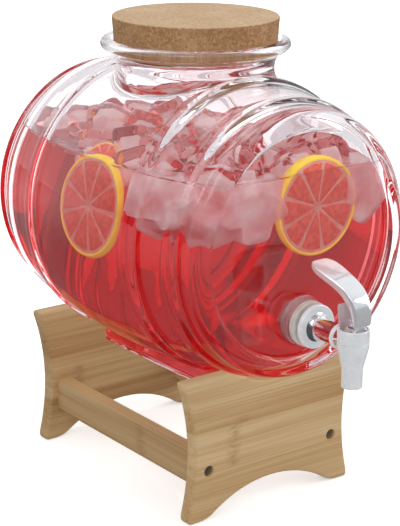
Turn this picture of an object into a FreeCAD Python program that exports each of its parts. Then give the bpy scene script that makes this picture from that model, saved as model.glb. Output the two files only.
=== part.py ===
"""Cocktail dispenser: a glass barrel with a lever tap and a cork, lying in a bamboo cradle.

Frame: +Z up, +X to the right of someone facing the tap, the tap points to -Y.
The origin is under the middle of the whole dispenser, on the table.
All lengths are in millimetres and all angles in degrees.
"""
import FreeCAD, Part
import math
import os

import Sketcher

TOUCH = 0.01  # a point this near a face or line lies on it
NEAR = 0.5  # a point this near a corner belongs to it
CORNER_INSET = 1 - math.sqrt(0.5)  # middle of a quarter circle inside its corner, per radius

Vector = FreeCAD.Vector
document = FreeCAD.newDocument("CocktailDispenser")
sheet = document.addObject("Spreadsheet::Sheet", "Sizes")

# ---------------------------------------------------------------------------
# Driving dimensions: alias, value, what it is
# ---------------------------------------------------------------------------
DIMENSIONS = [
    # Barrel of the glass vessel; its own frame has its origin on the barrel's axis
    ("belly_radius", 110.3, "outside radius at the middle of the barrel"),
    ("stave_radius", 435.0, "radius of the arc that bulges the barrel"),
    ("level_half_length", 30.0, "half the level stretch round the middle of the barrel"),
    ("half_length", 127.0, "middle of the barrel to the crest of the end rims"),
    ("end_round", 5.35, "rim round the flat ends, inside the staves' line"),
    ("end_rim_width", 4.0, "width of that rim"),
    ("end_recess", 2.0, "depth of the flat ends inside their rims"),
    ("wall", 5.0, "glass thickness"),
    ("cavity_corner", 9.0, "radius of the cavity's end corners"),
    ("hoop_height", 2.6, "hoops above the staves"),
    ("hoop_rise", 1.8, "length of a hoop's steep flank"),
    ("hoop_tail", 5.0, "length of a hoop's soft end"),
    ("hoop_one_inset", 70.0, "first hoop's flank, from the end rims"),
    ("hoop_one_width", 15.0, "width of the first hoop"),
    ("hoop_two_inset", 30.0, "second hoop's flank, from the end rims"),
    ("hoop_two_width", 12.0, "width of the second hoop"),
    ("hoop_three_inset", 10.0, "third hoop's flank; the hoop runs into the end rim"),
    # Neck and mouth
    ("neck_radius", 57.6, "outside radius of the neck"),
    ("neck_wall", 4.8, "glass thickness of the neck"),
    ("flare_height", 20.0, "where the neck starts to flare, below the top of the lip"),
    ("lip_reach", 11.7, "lip outside the neck"),
    ("lip_height", 7.9, "height of the rolled lip"),
    ("lip_round", 2.4, "eased edges of the lip"),
    ("mouth_bevel", 1.2, "eased edge inside the mouth"),
    ("neck_rise", 18.2, "top of the lip above the belly"),
    # Foot under the barrel and boss for the tap
    ("foot_depth", 6.2, "underside of the foot below the belly"),
    ("foot_half_width", 37.6, "half the foot's width"),
    ("foot_clearance", 12.6, "foot clear of the front panel along the barrel"),
    ("foot_corner", 9.0, "corner radius of the foot"),
    ("foot_bevel", 1.6, "bevel round the underside of the foot"),
    ("boss_radius", 16.8, "glass boss round the tap hole"),
    ("boss_height", 5.9, "boss in front of the flat end"),
    ("tap_hole_gap", 0.3, "room between the boss and the tap's shank"),
    ("tap_drop", 53.9, "tap hole below the barrel axis"),
    # Cork
    ("cork_seat", 6.2, "cork's underside outside the throat"),
    ("cork_taper", 1.8, "cork's top outside its underside"),
    ("cork_thickness", 26.0, "cork height"),
    ("cork_depth", 10.0, "how far the cork goes into the mouth"),
    ("cork_gap", 0.3, "room between cork and glass"),
    ("cork_bevel", 1.0, "eased upper edge of the cork"),
    # Stand
    ("front_panel_inset", 0.9, "front panel's outer face short of the second hoop's flank"),
    ("rear_panel_reach", 9.9, "rear panel's outer face past the second hoop's flank"),
    ("panel_height", 108.0, "height of the panels"),
    ("panel_thickness", 12.0, "bamboo board"),
    ("horn_half_width", 79.4, "half the panel's width at the top"),
    ("waist_half_width", 69.0, "half the panel's width at the waist"),
    ("toe_half_width", 76.2, "half the panel's width at the floor"),
    ("waist_height", 46.0, "height of the waist"),
    ("toe_width", 18.2, "each foot beside the arch"),
    ("arch_height", 20.0, "height of that arch"),
    ("seat_gap", 0.354, "room between the cradles and the barrel"),
    ("cradle_half_width", 38.12, "half the cradle's width at the top of the panels"),
    ("seat_inner_half_width", 27.0, "where the cradle arc ends and the hollow under the barrel starts"),
    ("hollow_height", 95.5, "bottom of that hollow above the floor"),
    ("corner_round", 3.6, "rounding of the outline's corners"),
    ("arch_round", 8.0, "rounding where the arch meets the floor"),
    ("edge_bevel", 1.8, "eased edges of the panels"),
    ("rail_width", 12.0, "rail along the x axis"),
    ("rail_height", 26.0, "rail height"),
    ("rail_bottom", 24.0, "underside of the rails above the floor"),
    ("rail_inset", 11.6, "middle of a rail inside the panel's waist"),
    ("rail_round", 1.4, "rounding of the rails' long edges"),
    ("screw_rise", 14.0, "screws above the underside of the rails"),
    ("screw_clearance", 0.3, "room round the screw's shank in the panel"),
    ("screw_head_radius", 3.5, "pan head"),
    ("screw_head_height", 2.2, "pan head"),
    ("screw_radius", 1.75, "screw shank"),
    ("screw_length", 36.0, "screw below its head"),
    ("counterbore_radius", 4.1, "hole for the screw head"),
    ("counterbore_depth", 4.5, "depth of that hole"),
    ("screw_gap", 0.05, "room round the screw's shank in the rail"),
    ("dowel_radius", 3.0, "dowel beside each screw"),
    ("dowel_length", 22.0, "dowel length"),
    ("dowel_depth", 8.0, "how deep the dowel goes into the panel"),
    ("dowel_rise", 5.5, "dowels above the underside of the rails"),
    ("pilot_depth", 2.0, "pilot hole past the screw's tip"),
    # Tap; its own frame has its origin where the shank's axis meets the barrel of the valve
    ("tap_reach", 48.4, "boss to the valve's axis"),
    ("shank_radius", 8.0, "threaded shank"),
    ("shank_tail", 4.1, "shank past the nut"),
    ("waterway_radius", 3.6, "bore through the shank"),
    ("flange_radius", 15.8, "flange that presses the washer"),
    ("flange_thickness", 3.0, "flange thickness"),
    ("flange_bevel", 1.0, "eased edges of the flange and of the shank's end"),
    ("spout_arm_radius", 8.4, "shank in front of the flange"),
    ("collar_ring_radius", 14.0, "ring between arm and valve"),
    ("collar_ring_front", 12.6, "front of that ring from the valve's axis"),
    ("collar_ring_width", 3.0, "ring width"),
    ("collar_ring_bevel", 0.6, "eased edges of the ring"),
    ("valve_radius", 11.1, "outside of the valve cup"),
    ("cup_wall", 1.5, "cup above the bonnet"),
    ("cup_top", 9.4, "rim of the cup above the shank's axis"),
    ("groove_height", 0.2, "decorative groove above the shank's axis"),
    ("groove_depth", 0.6, "decorative groove, as deep as half its width"),
    ("taper_top", -5.4, "top of the taper"),
    ("taper_bottom", -17.6, "bottom of the taper"),
    ("nozzle_radius", 7.3, "outside of the nozzle"),
    ("nozzle_wall", 1.6, "nozzle"),
    ("nozzle_bottom", -32.6, "mouth of the nozzle"),
    ("chamber_wall", 4.6, "cup round the valve chamber"),
    ("chamber_top", 3.75, "where the bonnet sits"),
    ("seat_height", -14.6, "valve seat"),
    ("seat_thickness", 3.0, "floor of the chamber"),
    ("seat_overlap", 1.0, "plug's edge past the hole in the valve seat"),
    ("washer_thickness", 5.5, "outer silicone washer"),
    ("washer_radius", 16.4, "outer silicone washer"),
    ("inner_washer_thickness", 3.0, "inner silicone washer"),
    ("inner_washer_radius", 13.5, "inner silicone washer"),
    ("nut_width", 24.0, "nut across its flats"),
    ("nut_thickness", 9.0, "nut thickness"),
    ("thread_gap", 0.1, "room between shank and nut"),
    # Valve and lever
    ("bonnet_thickness", 1.85, "plate that closes the chamber"),
    ("bonnet_gap", 0.08, "room round the bonnet in the cup"),
    ("stem_radius", 1.6, "valve stem"),
    ("stem_gap", 0.05, "running clearance of the stem and of the pin"),
    ("ring_thickness", 0.9, "square sealing ring on the stem"),
    ("ring_gap", 0.03, "room round that ring in the bonnet"),
    ("plug_gap", 0.9, "room round the silicone plug in the chamber"),
    ("plug_thickness", 2.6, "plug above the seat"),
    ("plug_nose_length", 1.6, "plug's nose below the seat"),
    ("plug_nose_gap", 0.4, "room round that nose in the seat's hole"),
    ("plug_collar_thickness", 1.0, "stem collar on the plug"),
    ("plug_collar_inset", 0.6, "that collar's edge inside the plug's"),
    ("stem_head_radius", 3.9, "head that the lever lifts"),
    ("stem_head_thickness", 1.1, "head thickness"),
    ("lift_gap", 0.15, "room between the lever's fingers and the head"),
    ("seal_gap", 0.05, "plug above the seat when shut"),
    ("pivot_reach", 4.6, "lever pivot in front of the stem"),
    ("pivot_height", 8.1, "lever pivot above the shank's axis"),
    ("pin_radius", 1.0, "lever pin"),
    ("hub_radius", 2.2, "lever hub round the pin"),
    ("hub_half_width", 4.4, "half the hub's width"),
    ("ear_gap", 0.2, "room between the hub and the ears"),
    ("ear_thickness", 1.5, "bonnet's ears"),
    ("ear_radius", 2.3, "bonnet's ears round the pin"),
    ("weld_depth", 0.2, "ears and guard sunk into the bonnet"),
    ("finger_radius", 2.2, "lever's lifting fingers"),
    ("finger_thickness", 1.6, "lever's lifting fingers"),
    ("blade_thickness", 5.0, "lever blade"),
    ("blade_half_width", 6.0, "lever blade above the cup"),
    ("paddle_half_width", 8.6, "lever blade at its tip"),
    ("blade_set_forward", 3.8, "blade in front of the pivot"),
    ("blade_foot", 4.6, "underside of the blade above the pivot"),
    ("blade_straight", 7.5, "upright stretch of the blade"),
    ("bend_radius", 18.0, "first bend of the blade"),
    ("bend_angle", 62.0, "first bend of the blade"),
    ("sweep_radius", 70.0, "second bend of the blade"),
    ("sweep_angle", 22.0, "second bend of the blade"),
    ("paddle_length", 19.0, "straight end of the blade, before its tip is rounded"),
    ("blade_reach", 47.0, "tip of the paddle behind the pivot"),
    ("blade_neck", 16.0, "narrow stretch of the blade, seen from above"),
    ("web_front_inset", 0.8, "front of the hub's web behind the middle of the blade"),
    ("web_back_inset", 0.4, "back of the hub's web inside the blade and the hub"),
    ("web_overlap", 1.0, "hub's web runs on into the blade"),
    ("guard_half_width", 8.0, "splash guard behind the lever, at its top"),
    ("guard_foot_half_width", 5.6, "splash guard where it leaves the cup"),
    ("guard_thickness", 1.5, "splash guard"),
    ("guard_back", 7.0, "back of the guard from the stem"),
    ("guard_straight", 2.0, "upright end of the guard's sides"),
    ("guard_height", 26.0, "top of the guard above the shank's axis"),
    ("spring_radius", 3.9, "return spring, middle of its wire"),
    ("spring_wire", 0.45, "radius of the spring's wire"),
    ("spring_turns", 5.0, "turns of the spring"),
    ("spring_end_gap", 0.1, "spring clear of plate and collar"),
]


class Size:
    """A size that knows its number and the expression that gives it in the document."""

    def __init__(self, number, text):
        self.number = float(number)
        self.text = text

    @staticmethod
    def of(value):
        """Return value as a Size; a plain number stays a number in the expression."""
        if isinstance(value, Size):
            return value
        return Size(value, repr(float(value)))

    def _join(self, other, sign, number):
        return Size(number, "(%s %s %s)" % (self.text, sign, other.text))

    def __add__(self, other):
        other = Size.of(other)
        return self._join(other, "+", self.number + other.number)

    def __sub__(self, other):
        other = Size.of(other)
        return self._join(other, "-", self.number - other.number)

    def __mul__(self, other):
        other = Size.of(other)
        return self._join(other, "*", self.number * other.number)

    def __truediv__(self, other):
        other = Size.of(other)
        return self._join(other, "/", self.number / other.number)

    def __radd__(self, other):
        return Size.of(other) + self

    def __rsub__(self, other):
        return Size.of(other) - self

    def __rmul__(self, other):
        return Size.of(other) * self

    def __neg__(self):
        return Size(-self.number, "(0 - %s)" % self.text)


def root(value):
    """Square root of a Size."""
    return Size(math.sqrt(value.number), "sqrt(%s)" % value.text)


def sine(angle):
    """Sine of a Size in degrees."""
    return Size(math.sin(math.radians(angle.number)), "sin(%s * 1 deg)" % angle.text)


def cosine(angle):
    """Cosine of a Size in degrees."""
    return Size(math.cos(math.radians(angle.number)), "cos(%s * 1 deg)" % angle.text)


def largest(first, second):
    """The larger of two Sizes."""
    return Size(max(first.number, second.number), "max(%s; %s)" % (first.text, second.text))


class Sizes:
    """The driving dimensions by name, as Size values tied to the spreadsheet's cells."""

    def __init__(self, rows):
        for row, (alias, value, meaning) in enumerate(rows, start=1):
            sheet.set("A%d" % row, meaning)
            sheet.set("B%d" % row, repr(float(value)))
            sheet.setAlias("B%d" % row, alias)
            setattr(self, alias, Size(value, "Sizes.%s" % alias))


S = Sizes(DIMENSIONS)
document.recompute()


# ---------------------------------------------------------------------------
# Helpers for parametric sketches and features
# ---------------------------------------------------------------------------
def bind(item, path, value):
    """Tie a property of a document object to a Size."""
    item.setExpression(path, Size.of(value).text)


def place(item, x, y, z):
    """Tie an object's position to three Sizes."""
    for axis, value in (("x", x), ("y", y), ("z", z)):
        bind(item, "Placement.Base.%s" % axis, value)


def new_body(label, x=0, y=0, z=0):
    """Start the PartDesign body of one sub-part at its place in the part's frame."""
    body = document.addObject("PartDesign::Body", label)
    body.Label = label
    place(body, x, y, z)
    return body


class Drawing:
    """A sketch on an origin plane whose points are tied to Sizes."""

    def __init__(self, body, plane, name, offset=0):
        self.sketch = body.newObject("Sketcher::SketchObject", name)
        origin_plane = [item for item in body.Origin.OriginFeatures if item.Role == plane][0]
        self.sketch.AttachmentSupport = [(origin_plane, "")]
        self.sketch.MapMode = "FlatFace"
        bind(self.sketch, "AttachmentOffset.Base.z", offset)

    def _constrain(self, value, kind, *where):
        index = self.sketch.addConstraint(Sketcher.Constraint(kind, *where, value.number))
        self.sketch.setExpression("Constraints[%d]" % index, value.text)

    def pin(self, piece, end, point):
        """Hold one end of a piece at a point, measured from the sketch's origin."""
        for kind, value in zip(("DistanceX", "DistanceY"), point):
            self._constrain(Size.of(value), kind, -1, 1, piece, end)

    def circle(self, centre, radius):
        """Add a whole circle."""
        middle = Vector(Size.of(centre[0]).number, Size.of(centre[1]).number, 0)
        radius = Size.of(radius)
        piece = self.sketch.addGeometry(Part.Circle(middle, Vector(0, 0, 1), radius.number))
        self.pin(piece, 3, centre)
        self._constrain(radius, "Radius", piece)
        return self

    def outline(self, start, *steps):
        """Add a closed outline: each step is a point for a line, or (middle, end) for an arc."""
        first_hold = None
        last_hold = None
        here = start
        for number, step in enumerate(steps):
            is_arc = isinstance(step[0], tuple)
            there = step[1] if is_arc else step
            piece, head, tail = self._arc(here, *step) if is_arc else self._line(here, there)
            last_piece = number == len(steps) - 1
            if last_hold is None:
                first_hold = (piece, head)
                self.pin(piece, head, here)
            else:
                self.sketch.addConstraint(Sketcher.Constraint("Coincident", *last_hold, piece, head))
            if last_piece:
                self.sketch.addConstraint(Sketcher.Constraint("Coincident", piece, tail, *first_hold))
            else:
                self.pin(piece, tail, there)
            last_hold = (piece, tail)
            here = there
        return self

    def _line(self, here, there):
        ends = [Vector(Size.of(p[0]).number, Size.of(p[1]).number, 0) for p in (here, there)]
        return self.sketch.addGeometry(Part.LineSegment(*ends)), 1, 2

    def _arc(self, here, middle, there):
        a, b, c = [Vector(Size.of(p[0]).number, Size.of(p[1]).number, 0) for p in (here, middle, there)]
        flat = Part.Circle(a, b, c)
        centre = flat.Center
        turns_left = (b - a).cross(c - b).z > 0
        first, last = (a, c) if turns_left else (c, a)
        angles = [math.atan2(p.y - centre.y, p.x - centre.x) for p in (first, last)]
        circle = Part.Circle(centre, Vector(0, 0, 1), flat.Radius)
        piece = self.sketch.addGeometry(Part.ArcOfCircle(circle, *angles))
        guide = self.sketch.addGeometry(Part.Point(b), True)
        self.pin(guide, 1, middle)
        self.sketch.addConstraint(Sketcher.Constraint("PointOnObject", guide, 1, piece))
        return (piece, 1, 2) if turns_left else (piece, 2, 1)

    def box(self, half_width, low, high):
        """Add a rectangle that is centred in x."""
        return self.outline((-half_width, low), (half_width, low), (half_width, high),
                            (-half_width, high), (-half_width, low))


def pad(body, drawing, name, length, both_ways=False, backwards=False):
    """Pad a drawing and return the feature."""
    feature = body.newObject("PartDesign::Pad", name)
    feature.Profile = drawing.sketch
    bind(feature, "Length", length)
    feature.SideType = "Symmetric" if both_ways else "One side"
    feature.Reversed = backwards
    return feature


def pocket(body, drawing, name, length, both_ways=False, backwards=False):
    """Cut a drawing out to a depth."""
    feature = body.newObject("PartDesign::Pocket", name)
    feature.Profile = drawing.sketch
    bind(feature, "Length", length)
    feature.SideType = "Symmetric" if both_ways else "One side"
    feature.Reversed = backwards
    return feature


def turn(body, drawing, name, axis, cut=False):
    """Revolve a drawing about its own H_Axis or V_Axis, or cut that solid out."""
    feature = body.newObject("PartDesign::Groove" if cut else "PartDesign::Revolution", name)
    feature.Profile = drawing.sketch
    feature.ReferenceAxis = (drawing.sketch, [axis])
    feature.Angle = 360
    return feature


def mirrored(body, feature, name):
    """Repeat a feature on the other side of the YZ plane."""
    document.recompute()
    copy = body.newObject("PartDesign::Mirrored", name)
    copy.Originals = [feature]
    middle = [item for item in body.Origin.OriginFeatures if item.Role == "YZ_Plane"][0]
    copy.MirrorPlane = (middle, [""])
    body.Tip = copy
    document.recompute()


def edges_where(shape, wanted):
    """Names of the edges that a test accepts."""
    return ["Edge%d" % (i + 1) for i, edge in enumerate(shape.Edges) if wanted(edge)]


def edge_points(edge, count=5):
    """Evenly spaced points along an edge."""
    return edge.discretize(count)


def dress_edges(kind, measure, body, name, size, wanted):
    """Fillet or chamfer the edges of the body's last feature that a test accepts."""
    document.recompute()
    last = body.Tip
    names = edges_where(last.Shape, wanted)
    if not names:
        raise ValueError("no edges for %s" % name)
    feature = body.newObject(kind, name)
    feature.Base = (last, names)
    bind(feature, measure, size)
    document.recompute()
    return feature


def round_edges(body, name, radius, wanted):
    """Fillet edges."""
    return dress_edges("PartDesign::Fillet", "Radius", body, name, radius, wanted)


def bevel_edges(body, name, size, wanted):
    """Chamfer edges."""
    return dress_edges("PartDesign::Chamfer", "Size", body, name, size, wanted)


# ---------------------------------------------------------------------------
# Places that several sub-parts share
# ---------------------------------------------------------------------------
FLAT_END = S.half_length - S.end_recess
CAVITY_END = FLAT_END - S.wall
HOOP_ONE = S.half_length - S.hoop_one_inset
HOOP_TWO = S.half_length - S.hoop_two_inset
HOOP_THREE = S.half_length - S.hoop_three_inset


def stave(distance, lift=0):
    """Point (distance from the barrel's middle, radius) on the bulged staves, lifted by a height."""
    distance = Size.of(distance)
    reach = root(S.stave_radius * S.stave_radius - distance * distance)
    return distance, S.belly_radius - S.stave_radius + reach + lift


def between(start, end, distance):
    """Radius at a distance on the straight band from one (distance, radius) point to another."""
    return start[1] + (end[1] - start[1]) * (distance - start[0]) / (end[0] - start[0])


# Along the barrel
RIM_RADIUS = stave(S.half_length)[1] - S.end_round
FLARE_START = S.belly_radius + S.neck_rise - S.flare_height
MOUTH_HEIGHT = S.belly_radius + S.neck_rise
LIP_RADIUS = S.neck_radius + S.lip_reach
THROAT = S.neck_radius - S.neck_wall
FOOT_DROP = S.belly_radius + S.foot_depth
CORK_FOOT_RADIUS = THROAT + S.cork_seat
CORK_RADIUS = CORK_FOOT_RADIUS + S.cork_taper

# The panels stand at the second hoops: its crest rests on the rear one, the staves on the front one
FRONT_PANEL = HOOP_TWO - S.front_panel_inset - S.panel_thickness
FOOT_HALF_LENGTH = FRONT_PANEL - S.foot_clearance
SEAT_RADIUS = S.seat_gap + largest(
    stave(HOOP_TWO + S.hoop_rise, S.hoop_height)[1],
    between(stave(HOOP_ONE + S.hoop_one_width), stave(HOOP_TWO), FRONT_PANEL + S.edge_bevel))
AXIS_HEIGHT = S.panel_height + root(SEAT_RADIUS * SEAT_RADIUS
                                    - S.cradle_half_width * S.cradle_half_width)

# Along the dispenser, whose middle is the frame's origin
BARREL_Y = (FLAT_END + S.boss_height + S.tap_reach + S.valve_radius - S.half_length) / 2
STAND_Y = BARREL_Y + (S.rear_panel_reach + S.front_panel_inset) / 2
STAND_LENGTH = 2 * HOOP_TWO + S.rear_panel_reach - S.front_panel_inset
PANEL_OFFSET = STAND_LENGTH / 2 - S.panel_thickness / 2
RAIL_LENGTH = STAND_LENGTH - 2 * S.panel_thickness
RAIL_X = S.waist_half_width - S.rail_inset
ARCH_HALF_WIDTH = S.toe_half_width - S.toe_width
SCREW_HEIGHT = S.rail_bottom + S.screw_rise
DOWEL_HEIGHT = S.rail_bottom + S.dowel_rise

# At the tap
TAP_Y = BARREL_Y - FLAT_END - S.boss_height - S.tap_reach
TAP_Z = AXIS_HEIGHT - S.tap_drop
TAP_HOLE_RADIUS = S.shank_radius + S.tap_hole_gap
SHANK_END = S.boss_height + S.wall + S.inner_washer_thickness + S.nut_thickness + S.shank_tail
CUP_RADIUS = S.valve_radius - S.cup_wall
CHAMBER_RADIUS = S.valve_radius - S.chamber_wall
PLUG_RADIUS = CHAMBER_RADIUS - S.plug_gap
SEAT_BORE = PLUG_RADIUS - S.seat_overlap
NOZZLE_BORE = S.nozzle_radius - S.nozzle_wall
PIVOT_Y = TAP_Y - S.pivot_reach
PIVOT_Z = TAP_Z + S.pivot_height


def curve(start, control, end, pieces=3):
    """Points after start on a curve that leaves it towards the control point and ends at end."""
    points = []
    for number in range(1, pieces + 1):
        t = number / pieces
        weights = ((1 - t) * (1 - t), 2 * t * (1 - t), t * t)
        points.append(tuple(Size.of(a) * weights[0] + Size.of(b) * weights[1] + Size.of(c) * weights[2]
                            for a, b, c in zip(start, control, end)))
    return points


# ---------------------------------------------------------------------------
# Glass vessel
# ---------------------------------------------------------------------------
def hoop(start, width):
    """Points of one hoop: a steep flank towards the middle, a level crest, a soft end."""
    crest = stave(start + S.hoop_rise, S.hoop_height)
    end = start + width
    return [stave(start), crest, (end - S.hoop_tail, crest[1]), stave(end)]


def barrel_half():
    """Points of the outside from the level stretch to the middle of a flat end."""
    foot = stave(HOOP_TWO + S.hoop_two_width)
    crest = stave(HOOP_THREE + S.hoop_rise, S.hoop_height)
    rim = (S.half_length, RIM_RADIUS)
    shoulder = (S.half_length, RIM_RADIUS + S.end_round)
    return [(S.level_half_length, S.belly_radius),
            *hoop(HOOP_ONE, S.hoop_one_width),
            *hoop(HOOP_TWO, S.hoop_two_width),
            (HOOP_THREE, foot[1]), crest, *curve(crest, shoulder, rim, 2),
            (FLAT_END, RIM_RADIUS - S.end_rim_width), (FLAT_END, 0)]


def cavity_half():
    """Points of the inside from the level stretch to the middle of a flat end."""
    near = stave(CAVITY_END - S.cavity_corner, -S.wall)
    corner = (CAVITY_END, near[1])
    return [(S.level_half_length, S.belly_radius - S.wall),
            near, *curve(near, corner, (CAVITY_END, near[1] - S.cavity_corner), 2), (CAVITY_END, 0)]


def turned_barrel(body, name, half, cut=False):
    """Turn a half profile and its mirror image about the barrel's axis."""
    profile = Drawing(body, "YZ_Plane", name + "Profile")
    mirrored = [(-point[0], point[1]) for point in reversed(half)]
    profile.outline(*half, *mirrored, half[0])
    turn(body, profile, name, "H_Axis", cut)


def glass_vessel():
    """Blown and pressed glass barrel with hoops, neck, foot and tap boss in one piece."""
    body = new_body("glass_vessel", 0, BARREL_Y, AXIS_HEIGHT)
    turned_barrel(body, "Barrel", barrel_half())

    neck_foot = FLARE_START - S.belly_radius / 3
    lip_foot = MOUTH_HEIGHT - S.lip_height
    neck = Drawing(body, "YZ_Plane", "NeckProfile")
    neck.outline((0, neck_foot), (S.neck_radius, neck_foot), (S.neck_radius, FLARE_START),
                 (LIP_RADIUS - S.lip_round, lip_foot), (LIP_RADIUS, lip_foot + S.lip_round),
                 (LIP_RADIUS, MOUTH_HEIGHT - S.lip_round), (LIP_RADIUS - S.lip_round, MOUTH_HEIGHT),
                 (0, MOUTH_HEIGHT), (0, neck_foot))
    turn(body, neck, "Neck", "V_Axis")

    foot = Drawing(body, "XY_Plane", "FootOutline", -FOOT_DROP)
    rounded_box(foot, S.foot_half_width, FOOT_HALF_LENGTH, S.foot_corner)
    pad(body, foot, "Foot", FOOT_DROP)

    boss = Drawing(body, "XZ_Plane", "BossOutline", FLAT_END - S.wall / 2)
    boss.circle((0, -S.tap_drop), S.boss_radius)
    pad(body, boss, "Boss", S.boss_height + S.wall / 2)

    cavity_foot = Drawing(body, "XY_Plane", "FootCavityOutline", S.wall - FOOT_DROP)
    rounded_box(cavity_foot, S.foot_half_width - S.wall, FOOT_HALF_LENGTH - S.wall,
                S.foot_corner - S.wall)
    pocket(body, cavity_foot, "FootCavity", FOOT_DROP - S.wall, backwards=True)

    turned_barrel(body, "Cavity", cavity_half(), cut=True)

    top_radius = cork_radius_at(S.cork_depth) + S.cork_gap
    mouth = Drawing(body, "YZ_Plane", "MouthProfile")
    mouth.outline((0, neck_foot), (THROAT, neck_foot), (THROAT, FLARE_START),
                  (CORK_FOOT_RADIUS + S.cork_gap, MOUTH_HEIGHT - S.cork_depth - S.cork_gap),
                  (top_radius, MOUTH_HEIGHT - S.mouth_bevel), (top_radius + S.mouth_bevel, MOUTH_HEIGHT),
                  (0, MOUTH_HEIGHT), (0, neck_foot))
    turn(body, mouth, "Mouth", "V_Axis", cut=True)

    hole = Drawing(body, "XZ_Plane", "TapHoleOutline", FLAT_END + S.boss_height)
    hole.circle((0, -S.tap_drop), TAP_HOLE_RADIUS)
    pocket(body, hole, "TapHole", S.boss_height + 2 * S.wall)

    foot_bottom = -FOOT_DROP.number

    def foot_edge(edge):
        points = edge_points(edge)
        return max(abs(p.z - foot_bottom) for p in points) < TOUCH

    bevel_edges(body, "FootBevel", S.foot_bevel, foot_edge)
    return body


def rounded_box(drawing, half_width, half_length, corner):
    """Rectangle centred on the origin with rounded corners."""
    x, y = half_width, half_length
    inset = corner * CORNER_INSET
    drawing.outline((corner - x, -y), (x - corner, -y),
                    ((x - inset, inset - y), (x, corner - y)), (x, y - corner),
                    ((x - inset, y - inset), (x - corner, y)), (corner - x, y),
                    ((inset - x, y - inset), (-x, y - corner)), (-x, corner - y),
                    ((inset - x, inset - y), (corner - x, -y)))


# ---------------------------------------------------------------------------
# Cork
# ---------------------------------------------------------------------------
def cork_radius_at(height):
    """Radius of the cork at a height above its underside."""
    slope = (CORK_RADIUS - CORK_FOOT_RADIUS) / S.cork_thickness
    return CORK_FOOT_RADIUS + slope * height


def cork_stopper():
    """Tapered agglomerated cork."""
    body = new_body("cork_stopper", 0, BARREL_Y, AXIS_HEIGHT + MOUTH_HEIGHT - S.cork_depth)
    profile = Drawing(body, "YZ_Plane", "CorkProfile")
    shoulder = S.cork_thickness - S.cork_bevel
    profile.outline((0, 0), (CORK_FOOT_RADIUS, 0), (cork_radius_at(shoulder), shoulder),
                    (CORK_RADIUS - S.cork_bevel, S.cork_thickness), (0, S.cork_thickness), (0, 0))
    turn(body, profile, "Cork", "V_Axis")
    return body


# ---------------------------------------------------------------------------
# Bamboo stand
# ---------------------------------------------------------------------------
def seat_point(x):
    """Point of the cradle arc at a distance from the middle, in the panel's frame."""
    return x, AXIS_HEIGHT - root(SEAT_RADIUS * SEAT_RADIUS - x * x)


def panel(label, side):
    """One end panel; side is -1 at the tap and +1 at the back."""
    body = new_body(label, 0, STAND_Y + side * PANEL_OFFSET, 0)
    depth = AXIS_HEIGHT - S.panel_height
    seat_end = root(SEAT_RADIUS * SEAT_RADIUS - depth * depth)
    inner = S.seat_inner_half_width
    seat_middle = seat_point((seat_end + inner) / 2)
    shape = Drawing(body, "XZ_Plane", "PanelOutline")
    shape.outline(
        (-ARCH_HALF_WIDTH, 0),
        ((0, S.arch_height), (ARCH_HALF_WIDTH, 0)),
        (S.toe_half_width, 0),
        ((S.waist_half_width, S.waist_height), (S.horn_half_width, S.panel_height)),
        (seat_end, S.panel_height),
        (seat_middle, seat_point(inner)),
        ((0, S.hollow_height), seat_point(-inner)),
        ((-seat_middle[0], seat_middle[1]), (-seat_end, S.panel_height)),
        (-S.horn_half_width, S.panel_height),
        ((-S.waist_half_width, S.waist_height), (-S.toe_half_width, 0)),
        (-ARCH_HALF_WIDTH, 0))
    pad(body, shape, "Panel", S.panel_thickness, both_ways=True)

    arch_x = ARCH_HALF_WIDTH.number
    toe_x = S.toe_half_width.number
    horn_x = S.horn_half_width.number
    cradle_x = seat_end.number
    top = S.panel_height.number
    half = S.panel_thickness.number / 2

    def corner_at(edge, x):
        """Whether an edge runs through the board at a distance from its middle."""
        points = edge_points(edge)
        straight = abs(edge.Length - 2 * half) < TOUCH and abs(points[0].y - points[-1].y) > half
        return straight and abs(abs(points[0].x) - x) < NEAR

    def arch_corner(edge):
        return corner_at(edge, arch_x)

    def other_corner(edge):
        sharp = min(abs(edge_points(edge)[0].z), abs(edge_points(edge)[0].z - top)) < TOUCH
        return sharp and any(corner_at(edge, x) for x in (toe_x, horn_x, cradle_x))

    round_edges(body, "ArchEnds", S.arch_round, arch_corner)
    round_edges(body, "Corners", S.corner_round, other_corner)

    def rim_of_face(edge):
        return max(abs(abs(p.y) - half) for p in edge_points(edge)) < TOUCH

    bevel_edges(body, "EasedEdges", S.edge_bevel, rim_of_face)

    # The sketches of holes lie on the panel's outer face, and on its inner face for the dowels
    face = S.panel_thickness / 2
    outward = side < 0
    heads = Drawing(body, "XZ_Plane", "HeadOutlines", -side * face)
    shanks = Drawing(body, "XZ_Plane", "ShankOutlines", -side * face)
    dowels = Drawing(body, "XZ_Plane", "DowelOutlines", side * face)
    for hand in (-1, 1):
        heads.circle((hand * RAIL_X, SCREW_HEIGHT), S.counterbore_radius)
        shanks.circle((hand * RAIL_X, SCREW_HEIGHT), S.screw_radius + S.screw_clearance)
        dowels.circle((hand * RAIL_X, DOWEL_HEIGHT), S.dowel_radius)
    pocket(body, heads, "Counterbores", S.counterbore_depth, backwards=not outward)
    pocket(body, shanks, "ShankHoles", S.panel_thickness, backwards=not outward)
    pocket(body, dowels, "DowelHoles", S.dowel_depth, backwards=outward)
    return body


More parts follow.
